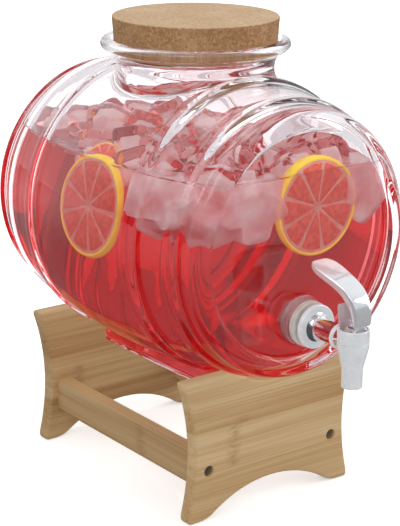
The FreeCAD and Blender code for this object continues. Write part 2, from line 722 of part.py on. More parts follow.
def rail(label, hand):
    """One rail between the panels; hand is -1 on the left and +1 on the right."""
    body = new_body(label, hand * RAIL_X, STAND_Y, S.rail_bottom)
    section = Drawing(body, "XZ_Plane", "RailSection")
    section.box(S.rail_width / 2, 0, S.rail_height)
    pad(body, section, "Rail", RAIL_LENGTH, both_ways=True)

    def long_edge(edge):
        return edge.Length > RAIL_LENGTH.number - 1

    round_edges(body, "RailRound", S.rail_round, long_edge)
    pilot_depth = S.screw_length - S.panel_thickness + S.counterbore_depth + S.pilot_depth
    for end in (-1, 1):
        name = "Front" if end < 0 else "Back"
        pilot = Drawing(body, "XZ_Plane", "Pilot%s" % name, -end * RAIL_LENGTH / 2)
        pilot.circle((0, SCREW_HEIGHT - S.rail_bottom), S.screw_radius + S.screw_gap)
        pocket(body, pilot, "PilotHole%s" % name, pilot_depth, backwards=end > 0)
        dowel = Drawing(body, "XZ_Plane", "Dowel%s" % name, -end * RAIL_LENGTH / 2)
        dowel.circle((0, DOWEL_HEIGHT - S.rail_bottom), S.dowel_radius)
        pocket(body, dowel, "DowelHole%s" % name, S.dowel_length - S.dowel_depth, backwards=end > 0)
    return body


def cylinder(name, radius, length, x, y, z, direction):
    """Part cylinder whose axis starts at a point and runs along a direction."""
    item = document.addObject("Part::Cylinder", name)
    bind(item, "Radius", radius)
    bind(item, "Height", length)
    item.Placement = FreeCAD.Placement(Vector(), FreeCAD.Rotation(Vector(0, 0, 1), direction))
    place(item, x, y, z)
    return item


def group(label, items):
    """Several like solids in one node."""
    compound = document.addObject("Part::Compound", label)
    compound.Label = label
    compound.Links = items
    return compound


def corners_of_stand():
    """The four rail ends as (hand, end) pairs."""
    return [(hand, end) for end in (-1, 1) for hand in (-1, 1)]


def stand_screws():
    """Four pan-head screws, one through a panel into each rail end."""
    screws = []
    for number, (hand, end) in enumerate(corners_of_stand(), start=1):
        x = hand * RAIL_X
        seat = STAND_Y + end * (STAND_LENGTH / 2 - S.counterbore_depth)
        inward = Vector(0, -end, 0)
        outward = Vector(0, end, 0)
        shank = cylinder("ScrewShank%d" % number, S.screw_radius, S.screw_length, x, seat,
                         SCREW_HEIGHT, inward)
        head = cylinder("ScrewHead%d" % number, S.screw_head_radius, S.screw_head_height, x, seat,
                        SCREW_HEIGHT, outward)
        screw = document.addObject("Part::Fuse", "Screw%d" % number)
        screw.Base = shank
        screw.Tool = head
        screws.append(screw)
    return group("stand_screws", screws)


def rail_dowels():
    """Four wooden dowels that keep the rails from turning on their screws."""
    dowels = []
    for number, (hand, end) in enumerate(corners_of_stand(), start=1):
        outer = STAND_Y + end * (RAIL_LENGTH / 2 + S.dowel_depth)
        dowels.append(cylinder("Dowel%d" % number, S.dowel_radius, S.dowel_length,
                               hand * RAIL_X, outer, DOWEL_HEIGHT, Vector(0, -end, 0)))
    return group("rail_dowels", dowels)


# ---------------------------------------------------------------------------
# Tap: fixed pieces
# ---------------------------------------------------------------------------
FLANGE_BACK = S.tap_reach - S.washer_thickness
WALL_BACK = S.tap_reach + S.boss_height + S.wall
NUT_FRONT = WALL_BACK + S.inner_washer_thickness
BONNET_TOP = S.chamber_top + S.bonnet_thickness


def tap_body():
    """Chromed tap body: threaded shank, flange, arm, ring, valve cup and nozzle."""
    body = new_body("tap_body", 0, TAP_Y, TAP_Z)
    shank_tip = S.tap_reach + SHANK_END
    flange_front = FLANGE_BACK - S.flange_thickness
    ring_front = S.collar_ring_front
    ring_back = ring_front + S.collar_ring_width
    arm = S.spout_arm_radius
    inside_cup = S.valve_radius / 2
    shank = Drawing(body, "YZ_Plane", "ShankProfile")
    shank.outline((inside_cup, 0), (shank_tip, 0), (shank_tip, S.shank_radius - S.flange_bevel),
                  (shank_tip - S.flange_bevel, S.shank_radius), (FLANGE_BACK, S.shank_radius),
                  (FLANGE_BACK, S.flange_radius), (flange_front + S.flange_bevel, S.flange_radius),
                  (flange_front, S.flange_radius - S.flange_bevel), (flange_front, arm),
                  (ring_back, arm), (ring_back, S.collar_ring_radius - S.collar_ring_bevel),
                  (ring_back - S.collar_ring_bevel, S.collar_ring_radius),
                  (ring_front + S.collar_ring_bevel, S.collar_ring_radius),
                  (ring_front, S.collar_ring_radius - S.collar_ring_bevel),
                  (ring_front, arm), (inside_cup, arm), (inside_cup, 0))
    turn(body, shank, "Shank", "H_Axis")

    cup = Drawing(body, "YZ_Plane", "CupProfile")
    cup.outline((0, S.nozzle_bottom), (S.nozzle_radius, S.nozzle_bottom),
                (S.nozzle_radius, S.taper_bottom), (S.valve_radius, S.taper_top),
                (S.valve_radius, S.groove_height - S.groove_depth),
                (S.valve_radius - S.groove_depth, S.groove_height),
                (S.valve_radius, S.groove_height + S.groove_depth),
                (S.valve_radius, S.cup_top), (0, S.cup_top), (0, S.nozzle_bottom))
    turn(body, cup, "Cup", "V_Axis")

    seat_bottom = S.seat_height - S.seat_thickness
    inside = Drawing(body, "YZ_Plane", "InsideProfile")
    inside.outline((0, S.nozzle_bottom), (NOZZLE_BORE, S.nozzle_bottom),
                   (NOZZLE_BORE, seat_bottom), (SEAT_BORE, seat_bottom),
                   (SEAT_BORE, S.seat_height), (CHAMBER_RADIUS, S.seat_height),
                   (CHAMBER_RADIUS, S.chamber_top), (CUP_RADIUS, S.chamber_top),
                   (CUP_RADIUS, S.cup_top), (0, S.cup_top), (0, S.nozzle_bottom))
    turn(body, inside, "Inside", "V_Axis", cut=True)

    waterway = Drawing(body, "YZ_Plane", "WaterwayProfile")
    waterway.outline((0, 0), (shank_tip, 0), (shank_tip, S.waterway_radius),
                     (0, S.waterway_radius), (0, 0))
    turn(body, waterway, "Waterway", "H_Axis", cut=True)
    return body


def ring_on_shank(label, front, thickness, radius):
    """A flat washer round the shank."""
    body = new_body(label, 0, TAP_Y, TAP_Z)
    shape = Drawing(body, "XZ_Plane", "WasherOutline", -front)
    shape.circle((0, 0), radius)
    shape.circle((0, 0), S.shank_radius + S.thread_gap)
    pad(body, shape, "Washer", thickness, backwards=True)
    return body


def retaining_nut():
    """Hexagonal nut on the shank's end inside the vessel."""
    body = new_body("retaining_nut", 0, TAP_Y, TAP_Z)
    half = S.nut_width / 2
    corner = S.nut_width / (2 * cosine(Size.of(30)))
    shape = Drawing(body, "XZ_Plane", "NutOutline", -NUT_FRONT)
    points = [(corner / 2, half), (-corner / 2, half), (-corner, 0), (-corner / 2, -half),
              (corner / 2, -half), (corner, 0)]
    shape.outline(points[-1], *points)
    shape.circle((0, 0), S.shank_radius + S.thread_gap)
    pad(body, shape, "Nut", S.nut_thickness, backwards=True)
    return body


def tap_bonnet():
    """Plate that closes the valve chamber, with the lever's ears and the splash guard."""
    body = new_body("tap_bonnet", 0, TAP_Y, TAP_Z)
    plate = Drawing(body, "XY_Plane", "PlateOutline", S.chamber_top)
    plate.circle((0, 0), CUP_RADIUS - S.bonnet_gap)
    pad(body, plate, "Plate", S.bonnet_thickness)

    ear_inside = S.hub_half_width + S.ear_gap
    ear = Drawing(body, "YZ_Plane", "EarOutline", ear_inside)
    centre_y, centre_z, radius = -S.pivot_reach, S.pivot_height, S.ear_radius
    foot_z = BONNET_TOP - S.weld_depth
    ear.outline((centre_y - radius, foot_z), (centre_y + radius, foot_z),
                (centre_y + radius, centre_z),
                ((centre_y, centre_z + radius), (centre_y - radius, centre_z)),
                (centre_y - radius, foot_z))
    mirrored(body, pad(body, ear, "Ear", S.ear_thickness), "OtherEar")

    guard = Drawing(body, "XZ_Plane", "GuardOutline", S.guard_thickness - S.guard_back)
    wide, narrow = S.guard_half_width, S.guard_foot_half_width
    side_x = narrow + (wide - narrow) / 5
    side_z = S.cup_top + (S.guard_height - S.cup_top) / 3
    side_top = S.guard_height - S.guard_straight
    guard.outline((-narrow, foot_z), (narrow, foot_z), (narrow, S.cup_top),
                  ((side_x, side_z), (wide, side_top)), (wide, S.guard_height),
                  (-wide, S.guard_height), (-wide, side_top),
                  ((-side_x, side_z), (-narrow, S.cup_top)), (-narrow, foot_z))
    pad(body, guard, "Guard", S.guard_thickness, backwards=True)

    pin_hole = Drawing(body, "YZ_Plane", "PinHoleOutline")
    pin_hole.circle((centre_y, centre_z), S.pin_radius + S.stem_gap)
    pocket(body, pin_hole, "PinHole", 2 * CUP_RADIUS, both_ways=True)

    bore = Drawing(body, "YZ_Plane", "StemBoreProfile")
    stem_hole = S.stem_radius + S.stem_gap
    ring_hole = stem_hole + S.ring_thickness + S.ring_gap
    ring_low = BONNET_TOP - S.ring_thickness - S.ring_gap
    bore.outline((0, S.chamber_top), (stem_hole, S.chamber_top), (stem_hole, ring_low),
                 (ring_hole, ring_low), (ring_hole, BONNET_TOP), (0, BONNET_TOP), (0, S.chamber_top))
    turn(body, bore, "StemBore", "V_Axis", cut=True)
    return body


def stem_ring():
    """Square sealing ring round the stem, sunk in the top of the bonnet."""
    body = new_body("stem_ring", 0, TAP_Y, TAP_Z + BONNET_TOP - S.ring_thickness)
    inner = S.stem_radius + S.stem_gap
    shape = Drawing(body, "XY_Plane", "RingOutline")
    shape.circle((0, 0), inner)
    shape.circle((0, 0), inner + S.ring_thickness)
    pad(body, shape, "Ring", S.ring_thickness)
    return body


def lever_pin():
    """Pin through the ears and the lever's hub."""
    length = 2 * (S.hub_half_width + S.ear_gap + S.ear_thickness)
    pin = cylinder("lever_pin", S.pin_radius, length, -length / 2, PIVOT_Y, PIVOT_Z, Vector(1, 0, 0))
    pin.Label = "lever_pin"
    return pin


# ---------------------------------------------------------------------------
# Tap: moving pieces
# ---------------------------------------------------------------------------
STEPS_IN_A_TURN = 12
WIRE_SIDES = 6

PLUG_BOTTOM = S.seat_height + S.seal_gap
COLLAR_BOTTOM = PLUG_BOTTOM + S.plug_thickness
COLLAR_TOP = COLLAR_BOTTOM + S.plug_collar_thickness
HEAD_BOTTOM = S.pivot_height + S.finger_radius + S.lift_gap


def valve_stem():
    """Stem with a collar on the plug and a head that the lever lifts."""
    body = new_body("valve_stem", 0, TAP_Y, TAP_Z)
    head_top = HEAD_BOTTOM + S.stem_head_thickness
    collar_radius = PLUG_RADIUS - S.plug_collar_inset
    profile = Drawing(body, "YZ_Plane", "StemProfile")
    profile.outline((0, PLUG_BOTTOM), (S.stem_radius, PLUG_BOTTOM), (S.stem_radius, COLLAR_BOTTOM),
                    (collar_radius, COLLAR_BOTTOM), (collar_radius, COLLAR_TOP),
                    (S.stem_radius, COLLAR_TOP), (S.stem_radius, HEAD_BOTTOM),
                    (S.stem_head_radius, HEAD_BOTTOM), (S.stem_head_radius, head_top),
                    (0, head_top), (0, PLUG_BOTTOM))
    turn(body, profile, "Stem", "V_Axis")
    return body


def valve_plug():
    """Silicone plug that shuts the seat."""
    body = new_body("valve_plug", 0, TAP_Y, TAP_Z)
    nose = SEAT_BORE - S.plug_nose_gap
    tip = PLUG_BOTTOM - S.plug_nose_length
    profile = Drawing(body, "YZ_Plane", "PlugProfile")
    profile.outline((0, tip), (nose - S.plug_nose_gap, tip), (nose, PLUG_BOTTOM),
                    (PLUG_RADIUS, PLUG_BOTTOM), (PLUG_RADIUS, COLLAR_BOTTOM),
                    (S.stem_radius, COLLAR_BOTTOM), (S.stem_radius, PLUG_BOTTOM),
                    (0, PLUG_BOTTOM), (0, tip))
    turn(body, profile, "Plug", "V_Axis")
    return body


def return_spring():
    """Coil spring between the bonnet and the stem's collar, its turns stepped finely."""
    wire = S.spring_wire.number
    low = COLLAR_TOP.number + wire + S.spring_end_gap.number
    high = S.chamber_top.number - wire - S.spring_end_gap.number
    radius = S.spring_radius.number
    steps = round(S.spring_turns.number * STEPS_IN_A_TURN)
    path = []
    for step in range(steps + 1):
        angle = 2 * math.pi * step / STEPS_IN_A_TURN
        height = (high - low) * step / steps
        path.append(Vector(radius * math.cos(angle), radius * math.sin(angle), height))
    along = path[1] - path[0]
    section = Part.makePolygon([path[0] + spoke for spoke in spokes(along, wire)])
    pipe = Part.makePolygon(path).makePipeShell([section], True, False, 1)
    spring = document.addObject("Part::Feature", "return_spring")
    spring.Label = "return_spring"
    spring.Shape = pipe
    spring.Placement = FreeCAD.Placement(Vector(0, TAP_Y.number, TAP_Z.number + low), FreeCAD.Rotation())
    return spring


def spokes(along, radius):
    """Vectors from the wire's middle to the corners of its section, back to the first."""
    side = along.cross(Vector(0, 0, 1)).normalize()
    up = side.cross(along).normalize()
    angles = [2 * math.pi * number / WIRE_SIDES for number in range(WIRE_SIDES + 1)]
    return [side * (radius * math.cos(angle)) + up * (radius * math.sin(angle)) for angle in angles]


def blade_edge_steps(offset):
    """Start point and steps of one side of the blade, offset from its middle line."""
    upright_y = -S.blade_set_forward
    bend_z = S.blade_foot + S.blade_straight
    centre_y = upright_y + S.bend_radius

    def on_bend(angle):
        reach = S.bend_radius + offset
        return centre_y - reach * cosine(angle), bend_z + reach * sine(angle)

    total = S.bend_angle + S.sweep_angle
    shift = S.sweep_radius - S.bend_radius
    sweep_y = centre_y + shift * cosine(S.bend_angle)
    sweep_z = bend_z - shift * sine(S.bend_angle)

    def on_sweep(angle):
        reach = S.sweep_radius + offset
        return sweep_y - reach * cosine(angle), sweep_z + reach * sine(angle)

    tip_start = on_sweep(total)
    tip = (tip_start[0] + S.paddle_length * sine(total), tip_start[1] + S.paddle_length * cosine(total))
    start = (upright_y - offset, S.blade_foot)
    bend_end = on_bend(S.bend_angle)
    steps = [(upright_y - offset, bend_z), (on_bend(S.bend_angle / 2), bend_end),
             (on_sweep(S.bend_angle + S.sweep_angle / 2), tip_start), tip]
    return start, steps


def reversed_steps(start, steps):
    """The same steps walked the other way."""
    points = [start] + [step[1] if isinstance(step[0], tuple) else step for step in steps]
    back = []
    for number in range(len(steps) - 1, -1, -1):
        step = steps[number]
        back.append((step[0], points[number]) if isinstance(step[0], tuple) else points[number])
    return points[-1], back


def tap_lever():
    """Curved lever with its hub, lifting fingers and a paddle for the thumb."""
    body = new_body("tap_lever", 0, PIVOT_Y, PIVOT_Z)
    half = S.blade_thickness / 2
    front, front_steps = blade_edge_steps(half)
    back, back_steps = blade_edge_steps(-half)
    back_tip, back_down = reversed_steps(back, back_steps)
    side = Drawing(body, "YZ_Plane", "BladeSide")
    side.outline(front, *front_steps, back_tip, *back_down, front)
    pad(body, side, "Blade", 2 * S.paddle_half_width, both_ways=True)

    # Seen from above, the blade narrows from the paddle's round end to the upright stretch
    tip_y = S.blade_reach
    round_y = tip_y - S.paddle_half_width
    root_y = -S.blade_set_forward - half
    narrow_y = root_y + S.blade_neck
    wide, narrow = S.paddle_half_width, S.blade_half_width
    side_x = (narrow + 3 * wide) / 4
    side_y = (narrow_y + round_y) / 2
    margin = S.blade_thickness
    plan = Drawing(body, "XY_Plane", "PaddlePlan")
    plan.outline((-wide - margin, root_y - margin), (wide + margin, root_y - margin),
                 (wide + margin, tip_y + margin), (-wide - margin, tip_y + margin),
                 (-wide - margin, root_y - margin))
    plan.outline((-narrow, root_y - half), (narrow, root_y - half), (narrow, narrow_y),
                 ((side_x, side_y), (wide, round_y)), ((0, tip_y), (-wide, round_y)),
                 ((-side_x, side_y), (-narrow, narrow_y)), (-narrow, root_y - half))
    pocket(body, plan, "PaddleShape", 2 * S.blade_reach, backwards=True)

    hub = Drawing(body, "YZ_Plane", "HubOutline")
    hub.circle((0, 0), S.hub_radius)
    pad(body, hub, "Hub", 2 * S.hub_half_width, both_ways=True)
    web = Drawing(body, "YZ_Plane", "WebOutline")
    web_front = S.web_front_inset - S.blade_set_forward
    web_back = half - S.blade_set_forward - S.web_back_inset
    web_top = S.blade_foot + S.web_overlap
    web.outline((S.web_back_inset - S.hub_radius, 0), (0, 0), (0, S.hub_radius),
                (web_back, web_top), (web_front, web_top), (web_front, S.hub_radius / 2),
                (S.web_back_inset - S.hub_radius, 0))
    pad(body, web, "Web", 2 * S.hub_half_width, both_ways=True)

    finger = Drawing(body, "YZ_Plane", "FingerOutline", S.hub_half_width - S.finger_thickness)
    low, high = -S.finger_radius, S.finger_radius
    finger.outline((0, low), (S.pivot_reach, low),
                   ((S.pivot_reach + S.finger_radius, 0), (S.pivot_reach, high)), (0, high), (0, low))
    mirrored(body, pad(body, finger, "Finger", S.finger_thickness), "OtherFinger")

    bore = Drawing(body, "YZ_Plane", "PinBoreOutline")
    bore.circle((0, 0), S.pin_radius + S.stem_gap)
    pocket(body, bore, "PinBore", 4 * S.hub_half_width, both_ways=True)
    return body


# ---------------------------------------------------------------------------
# The whole dispenser
# ---------------------------------------------------------------------------
def build():
    """Make every sub-part and return them."""
    return [
        glass_vessel(),
        cork_stopper(),
        panel("stand_front_panel", -1),
        panel("stand_rear_panel", 1),
        rail("stand_left_rail", -1),
        rail("stand_right_rail", 1),
        stand_screws(),
        rail_dowels(),
        tap_body(),
        ring_on_shank("outer_washer", FLANGE_BACK, S.washer_thickness, S.washer_radius),
        ring_on_shank("inner_washer", WALL_BACK, S.inner_washer_thickness, S.inner_washer_radius),
        retaining_nut(),
        tap_bonnet(),
        stem_ring(),
        lever_pin(),
        tap_lever(),
        valve_stem(),
        valve_plug(),
        return_spring(),
    ]


def check(parts):
    """Stop when any object failed or any sub-part has no valid solid."""
    failed = [item.Name for item in document.Objects
              if "Invalid" in item.State or "Error" in item.State]
    if failed:
        raise ValueError("failed objects: %s" % ", ".join(failed))
    for part in parts:
        shape = part.Shape
        if shape.isNull() or not shape.isValid() or not shape.Solids:
            raise ValueError("%s has no valid solid" % part.Label)
        print("%-18s %d solid(s) %10.1f mm3" % (part.Label, len(shape.Solids), shape.Volume))


def export(parts):
    """Write each sub-part's shape to its own STEP file."""
    os.makedirs("parts", exist_ok=True)
    for part in parts:
        part.Shape.exportStep("parts/%s.step" % part.Label)


sub_parts = build()
document.recompute()
check(sub_parts)
export(sub_parts)
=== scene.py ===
"""Looks of a barrel-shaped glass drink dispenser with a chrome tap, a cork and a bamboo stand."""

import sys
import logging
import math
import random
from abc import ABC, abstractmethod
from collections.abc import Callable
from dataclasses import dataclass
from enum import Enum
from functools import cached_property
from typing import ClassVar

import bpy
from mathutils import Matrix, Vector


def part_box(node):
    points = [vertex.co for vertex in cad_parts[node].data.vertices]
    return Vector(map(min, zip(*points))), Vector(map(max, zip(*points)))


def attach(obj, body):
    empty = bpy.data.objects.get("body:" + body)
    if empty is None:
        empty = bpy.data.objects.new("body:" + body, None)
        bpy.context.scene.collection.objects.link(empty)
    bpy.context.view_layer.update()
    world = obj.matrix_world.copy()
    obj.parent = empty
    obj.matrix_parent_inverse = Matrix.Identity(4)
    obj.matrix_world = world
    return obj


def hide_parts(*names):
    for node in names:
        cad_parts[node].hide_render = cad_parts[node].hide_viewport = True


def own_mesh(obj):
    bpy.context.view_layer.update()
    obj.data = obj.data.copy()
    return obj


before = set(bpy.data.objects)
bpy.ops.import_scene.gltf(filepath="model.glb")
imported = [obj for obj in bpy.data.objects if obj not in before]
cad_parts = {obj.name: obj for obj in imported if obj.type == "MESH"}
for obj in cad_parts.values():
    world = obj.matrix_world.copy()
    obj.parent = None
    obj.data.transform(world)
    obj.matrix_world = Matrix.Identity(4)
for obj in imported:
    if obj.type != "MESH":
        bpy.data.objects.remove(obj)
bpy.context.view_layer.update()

LOG = logging.getLogger("dispenser")
MM = 0.001
RIGHT, BACK, UP = (1, 0, 0), (0, 1, 0), (0, 0, 1)

Item = bpy.types.Object
Socket = bpy.types.NodeSocket
Point = tuple[float, float, float]
Pair = tuple[float, float]
Colour = tuple[float, float, float, float]
Stops = list[tuple[float, str]]


class Body(Enum):
    """Moving groups of the dispenser."""

    STAND = "stand"
    VESSEL = "vessel"
    CORK = "cork"
    LEVER = "lever"
    VALVE = "valve"


class Slot(Enum):
    """Material slots of the part's record, one given with each new piece."""

    GLASS = "glass"
    CORK = "cork"
    BAMBOO = "bamboo"
    CHROME = "chrome"
    STAINLESS = "stainless"
    SILICONE = "silicone"


class Axis(Enum):
    """Directions along which a wood's grain runs, with the turn that lays the pattern along it."""

    X = 0.0
    Y = -math.pi / 2


class Cut(Enum):
    """Ways in which one closed shape works on another."""

    JOIN = "UNION"
    CARVE = "DIFFERENCE"
    KEEP = "INTERSECT"


# ---------------------------------------------------------------------------
# Colours and nodes
# ---------------------------------------------------------------------------
def linear(code: str) -> Colour:
    """Turns an sRGB hex colour to the linear values that shaders use.

    Args:
        code: A colour such as "#C9A47C".

    Returns:
        Red, green, blue and an alpha of 1.
    """
    parts = [int(code[i : i + 2], 16) / 255 for i in (1, 3, 5)]
    red, green, blue = [c / 12.92 if c <= 0.04045 else ((c + 0.055) / 1.055) ** 2.4 for c in parts]
    return red, green, blue, 1.0


def per(size: float) -> float:
    """Scale at which the cells of a pattern are this many millimetres wide."""
    return 1 / (size * MM)


class Surface:
    """Nodes of one material or of the world, and the shader that they feed."""

    def __init__(self, owner: bpy.types.Material | bpy.types.World) -> None:
        """Takes over the nodes that a new material or world comes with.

        Args:
            owner: The new material or world.
        """
        owner.use_nodes = True
        self.tree = owner.node_tree
        self.shader = self.found("BSDF_PRINCIPLED", "BACKGROUND")

    @cached_property
    def place(self) -> Socket:
        """The object's own coordinates, in metres."""
        return self.add("TexCoord", out="Object")

    def found(self, *kinds: str) -> bpy.types.Node:
        """The node of one of these types that is there from the start."""
        return next(node for node in self.tree.nodes if node.type in kinds)

    def add(self, kind: str, inputs: dict | None = None, stops: Stops | None = None,
            out: int | str = 0, **settings: object) -> Socket:
        """Adds one node with its settings, links and colour stops.

        Args:
            kind: The node's type, without the "ShaderNode" in front.
            inputs: Values or linked sockets by input name or number.
            stops: Places and hex colours of a colour ramp.
            out: Name or number of the output that is wanted.
            settings: The node's own properties.

        Returns:
            That output of the new node.
        """
        node = self.tree.nodes.new("ShaderNode" + kind)
        for name, value in settings.items():
            setattr(node, name, value)
        for key, value in (inputs or {}).items():
            self.feed(node.inputs[key], value)
        if stops:
            elements = node.color_ramp.elements
            while len(elements) < len(stops):
                elements.new(0.5)
            for element, (position, code) in zip(elements, stops):
                element.position = position
                element.color = linear(code)
        return node.outputs[out]

    def feed(self, socket: Socket, value: object) -> None:
        """Gives a socket its own value, or links it where the value is another socket.

        Args:
            socket: The input.
            value: A number, a colour, a vector or an output of another node.
        """
        if isinstance(value, Socket):
            self.tree.links.new(value, socket)
        else:
            socket.default_value = value

    def fill(self, **values: object) -> None:
        """Feeds the shader's sockets by name, such as base_color for Base Color.

        Args:
            values: Values or outputs of nodes by socket name.
        """
        sockets = {socket.name.lower().replace(" ", "_"): socket for socket in self.shader.inputs}
        for name, value in values.items():
            self.feed(sockets[name], value)

    def mottle(self, size: float, stops: Stops, **more: float) -> tuple[Socket, Socket]:
        """Cloudy pattern that runs through a few colours.

        Args:
            size: Width of the clouds in millimetres.
            stops: Places and hex colours.
            more: Other inputs of the noise, such as Detail.

        Returns:
            The pattern, from 0 to 1, and its colour.
        """
        cloud = self.add("TexNoise", {"Vector": self.place, "Scale": per(size), **more})
        return cloud, self.add("ValToRGB", {"Fac": cloud}, stops)

    def weigh(self, base: float | Socket, *parts: tuple[Socket, float]) -> Socket:
        """Adds up patterns by their weights.

        Args:
            base: What the sum starts from.
            parts: Patterns and their weights.

        Returns:
            The sum.
        """
        for part, weight in parts:
            base = self.add("Math", {0: part, 1: weight, 2: base}, operation="MULTIPLY_ADD")
        return base

    def chain(self, operation: str, share: Socket, *others: float | Socket) -> Socket:
        """Takes several shares together, such as by MULTIPLY or MAXIMUM.

        Args:
            operation: What is done with each next share.
            share: The first share.
            others: The other ones.

        Returns:
            The result.
        """
        for other in others:
            share = self.add("Math", {0: share, 1: other}, operation=operation)
        return share

    def layer(self, colour: Colour | Socket, *layers: tuple[Socket, Colour | Socket]) -> Socket:
        """Lays colours over one another.

        Args:
            colour: The lowest colour.
            layers: For each next one its share, from 0 to 1, and the colour.

        Returns:
            The resulting colour.
        """
        for share, over in layers:
            colour = self.add("Mix", {0: share, 6: colour, 7: over}, out=2, data_type="RGBA")
        return colour


@dataclass(frozen=True)
class Finish(ABC):
    """One real material. Its surface node is a Principled BSDF that the finish dresses."""

    label: ClassVar[str] = "finish"
    _made: ClassVar[dict] = {}

    def material(self) -> bpy.types.Material:
        """Makes the material once and hands out the same one afterwards.

        Returns:
            The material.
        """
        if self not in Finish._made:
            made = bpy.data.materials.new(self.label)
            self.dress(Surface(made))
            made.cycles.emission_sampling = "NONE"
            Finish._made[self] = made
        return Finish._made[self]

    @abstractmethod
    def dress(self, on: Surface) -> None:
        """Sets the shader and adds the nodes that pattern it."""


@dataclass(frozen=True)
class PressedGlass(Finish):
    """Soda-lime glass pressed in a mould: clear, polished, with slow waves; a breath of pink is a painted
    reflection of the drink.
    """

    label: ClassVar[str] = "soda_lime_glass"
    # The faint pink in this colour is a painted reflection of the red drink.
    tint: str = "#F8F4F6"
    wave: float = 22.0
    smear: float = 16.667
    frost: float = 0.0
    film: float = 0.012

    def dress(self, on: Surface) -> None:
        """Waves a few centimetres long bend what is seen through the wall, as moulds leave them.

        Args:
            on: The material's nodes.
        """
        waves = on.add("TexNoise", {"Vector": on.place, "Scale": per(self.wave), "Detail": 1.0})
        smears = on.add("TexNoise", {"Vector": on.place, "Scale": per(self.smear), "Detail": 3.0})
        film = on.add("MapRange", {"Value": smears, "From Min": 0.55, "From Max": 0.8,
                                   "To Min": self.frost, "To Max": self.frost + self.film})
        bent = on.add("Bump", {"Height": waves, "Distance": 0.12 * MM, "Strength": 0.5})
        on.fill(base_color=linear(self.tint), transmission_weight=1.0, ior=1.5, roughness=film, normal=bent)


@dataclass(frozen=True)
class FruitDrink(Finish):
    """Red fruit drink: clear water with a dye that takes green and blue within a finger's depth."""

    label: ClassVar[str] = "red_fruit_drink"
    dye: str = "#F12735"
    strength: float = 28.0
    level: float = 253.5
    # Colour of the painted glow that the drink gives off under its line.
    painted_glow_colour: str = "#460203"
    ripple: float = 22.222

    def dress(self, on: Surface) -> None:
        """A painted deep red glow shines from the drink under the line; a ripple runs over the top face only.

        Args:
            on: The material's nodes.
        """
        dye = on.add("VolumeAbsorption", {"Color": linear(self.dye), "Density": self.strength})
        on.feed(on.found("OUTPUT_MATERIAL").inputs["Volume"], dye)
        ripple = on.add("TexNoise", {"Vector": on.place, "Scale": per(self.ripple), "Detail": 2.0})
        height = on.add("SeparateXYZ", {"Vector": on.place}, out="Z")
        top = on.add("MapRange", {"Value": height, "From Min": (self.level - 1.0) * MM,
                                  "From Max": (self.level - 0.2) * MM})
        under = on.add("MapRange", {"Value": height, "From Min": self.level * MM,
                                    "From Max": (self.level - 3.0) * MM})
        swell = on.chain("MULTIPLY", ripple, top)
        skin = on.add("Bump", {"Height": swell, "Distance": 2.5 * MM, "Strength": 0.8})
        # The emission is painted glow: the drink shines deep red by itself below its line.
        on.fill(base_color=linear("#FFFFFF"), transmission_weight=1.0, ior=1.333, roughness=0.0,
                emission_color=linear(self.painted_glow_colour), emission_strength=under, normal=skin)


@dataclass(frozen=True)
class FoggedIce(Finish):
    """Freezer ice under the drink's line: trapped air clouds it white, and the drink stains it pink."""

    label: ClassVar[str] = "fogged_ice"
    pale: str = "#FAE8E8"
    stained: str = "#E0A4A6"
    # Strength of a painted glow: the ice shines a little by itself.
    glow: float = 0.12
    cloud: float = 18.182
    dimple: float = 11.111

    def dress(self, on: Surface) -> None:
        """Clouds of trapped air a centimetre wide let light deep into the ice; its skin has melted smooth.

        Args:
            on: The material's nodes.
        """
        cloud, hue = on.mottle(self.cloud, [(0.3, self.stained), (0.7, self.pale)], Detail=3.0,
                               Roughness=0.55)
        clear = on.add("MapRange", {"Value": cloud, "From Min": 0.35, "From Max": 0.7, "To Min": 0.5,
                                    "To Max": 0.2})
        dimple = on.add("TexNoise", {"Vector": on.place, "Scale": per(self.dimple), "Detail": 2.0})
        skin = on.add("Bump", {"Height": dimple, "Distance": 1.0 * MM, "Strength": 0.5})
        # The emission is painted glow that brightens the ice.
        on.fill(base_color=hue, emission_color=hue, emission_strength=self.glow, roughness=0.45, ior=1.31,
                transmission_weight=clear, subsurface_weight=0.5, subsurface_scale=8 * MM, normal=skin)


@dataclass(frozen=True)
class CitrusRind(Finish):
    """Lemon rind: waxy yellow that deepens to orange, pitted by oil glands."""

    label: ClassVar[str] = "citrus_rind"
    patch: float = 18.182
    gland: float = 1.4

    def dress(self, on: Surface) -> None:
        """Oil glands are 1 mm wide and drawn at 1.4 mm so that they show.

        Args:
            on: The material's nodes.
        """
        hue = on.mottle(self.patch, [(0.3, "#FFE43A"), (0.55, "#FACC20"), (0.75, "#F2AE16")], Detail=3.0)[1]
        glands = on.add("TexVoronoi", {"Vector": on.place, "Scale": per(self.gland)})
        pits = on.add("Bump", {"Height": glands, "Distance": 0.3 * MM, "Strength": 0.5})
        # The emission is painted glow that brightens the rind.
        on.fill(base_color=hue, emission_color=hue, emission_strength=0.3, roughness=0.32, ior=1.45,
                subsurface_weight=0.15, subsurface_scale=2 * MM, normal=pits)


@dataclass(frozen=True)
class CitrusPith(Finish):
    """Pith and membranes: spongy white that the drink has stained pink."""

    label: ClassVar[str] = "citrus_pith"
    stain: float = 8.3333
    cell: float = 1.0

    def dress(self, on: Surface) -> None:
        """Sponge cells of half a millimetre are drawn at 1 mm.

        Args:
            on: The material's nodes.
        """
        hue = on.mottle(self.stain, [(0.3, "#F2B8A6"), (0.7, "#EA8A78")], Detail=3.0)[1]
        cells = on.add("TexNoise", {"Vector": on.place, "Scale": per(self.cell)})
        sponge = on.add("Bump", {"Height": cells, "Distance": 0.15 * MM, "Strength": 0.4})
        # The emission is painted glow that brightens the pith.
        on.fill(base_color=hue, emission_color=hue, emission_strength=0.12, roughness=0.6, ior=1.4,
                subsurface_weight=0.3, subsurface_scale=3 * MM, normal=sponge)


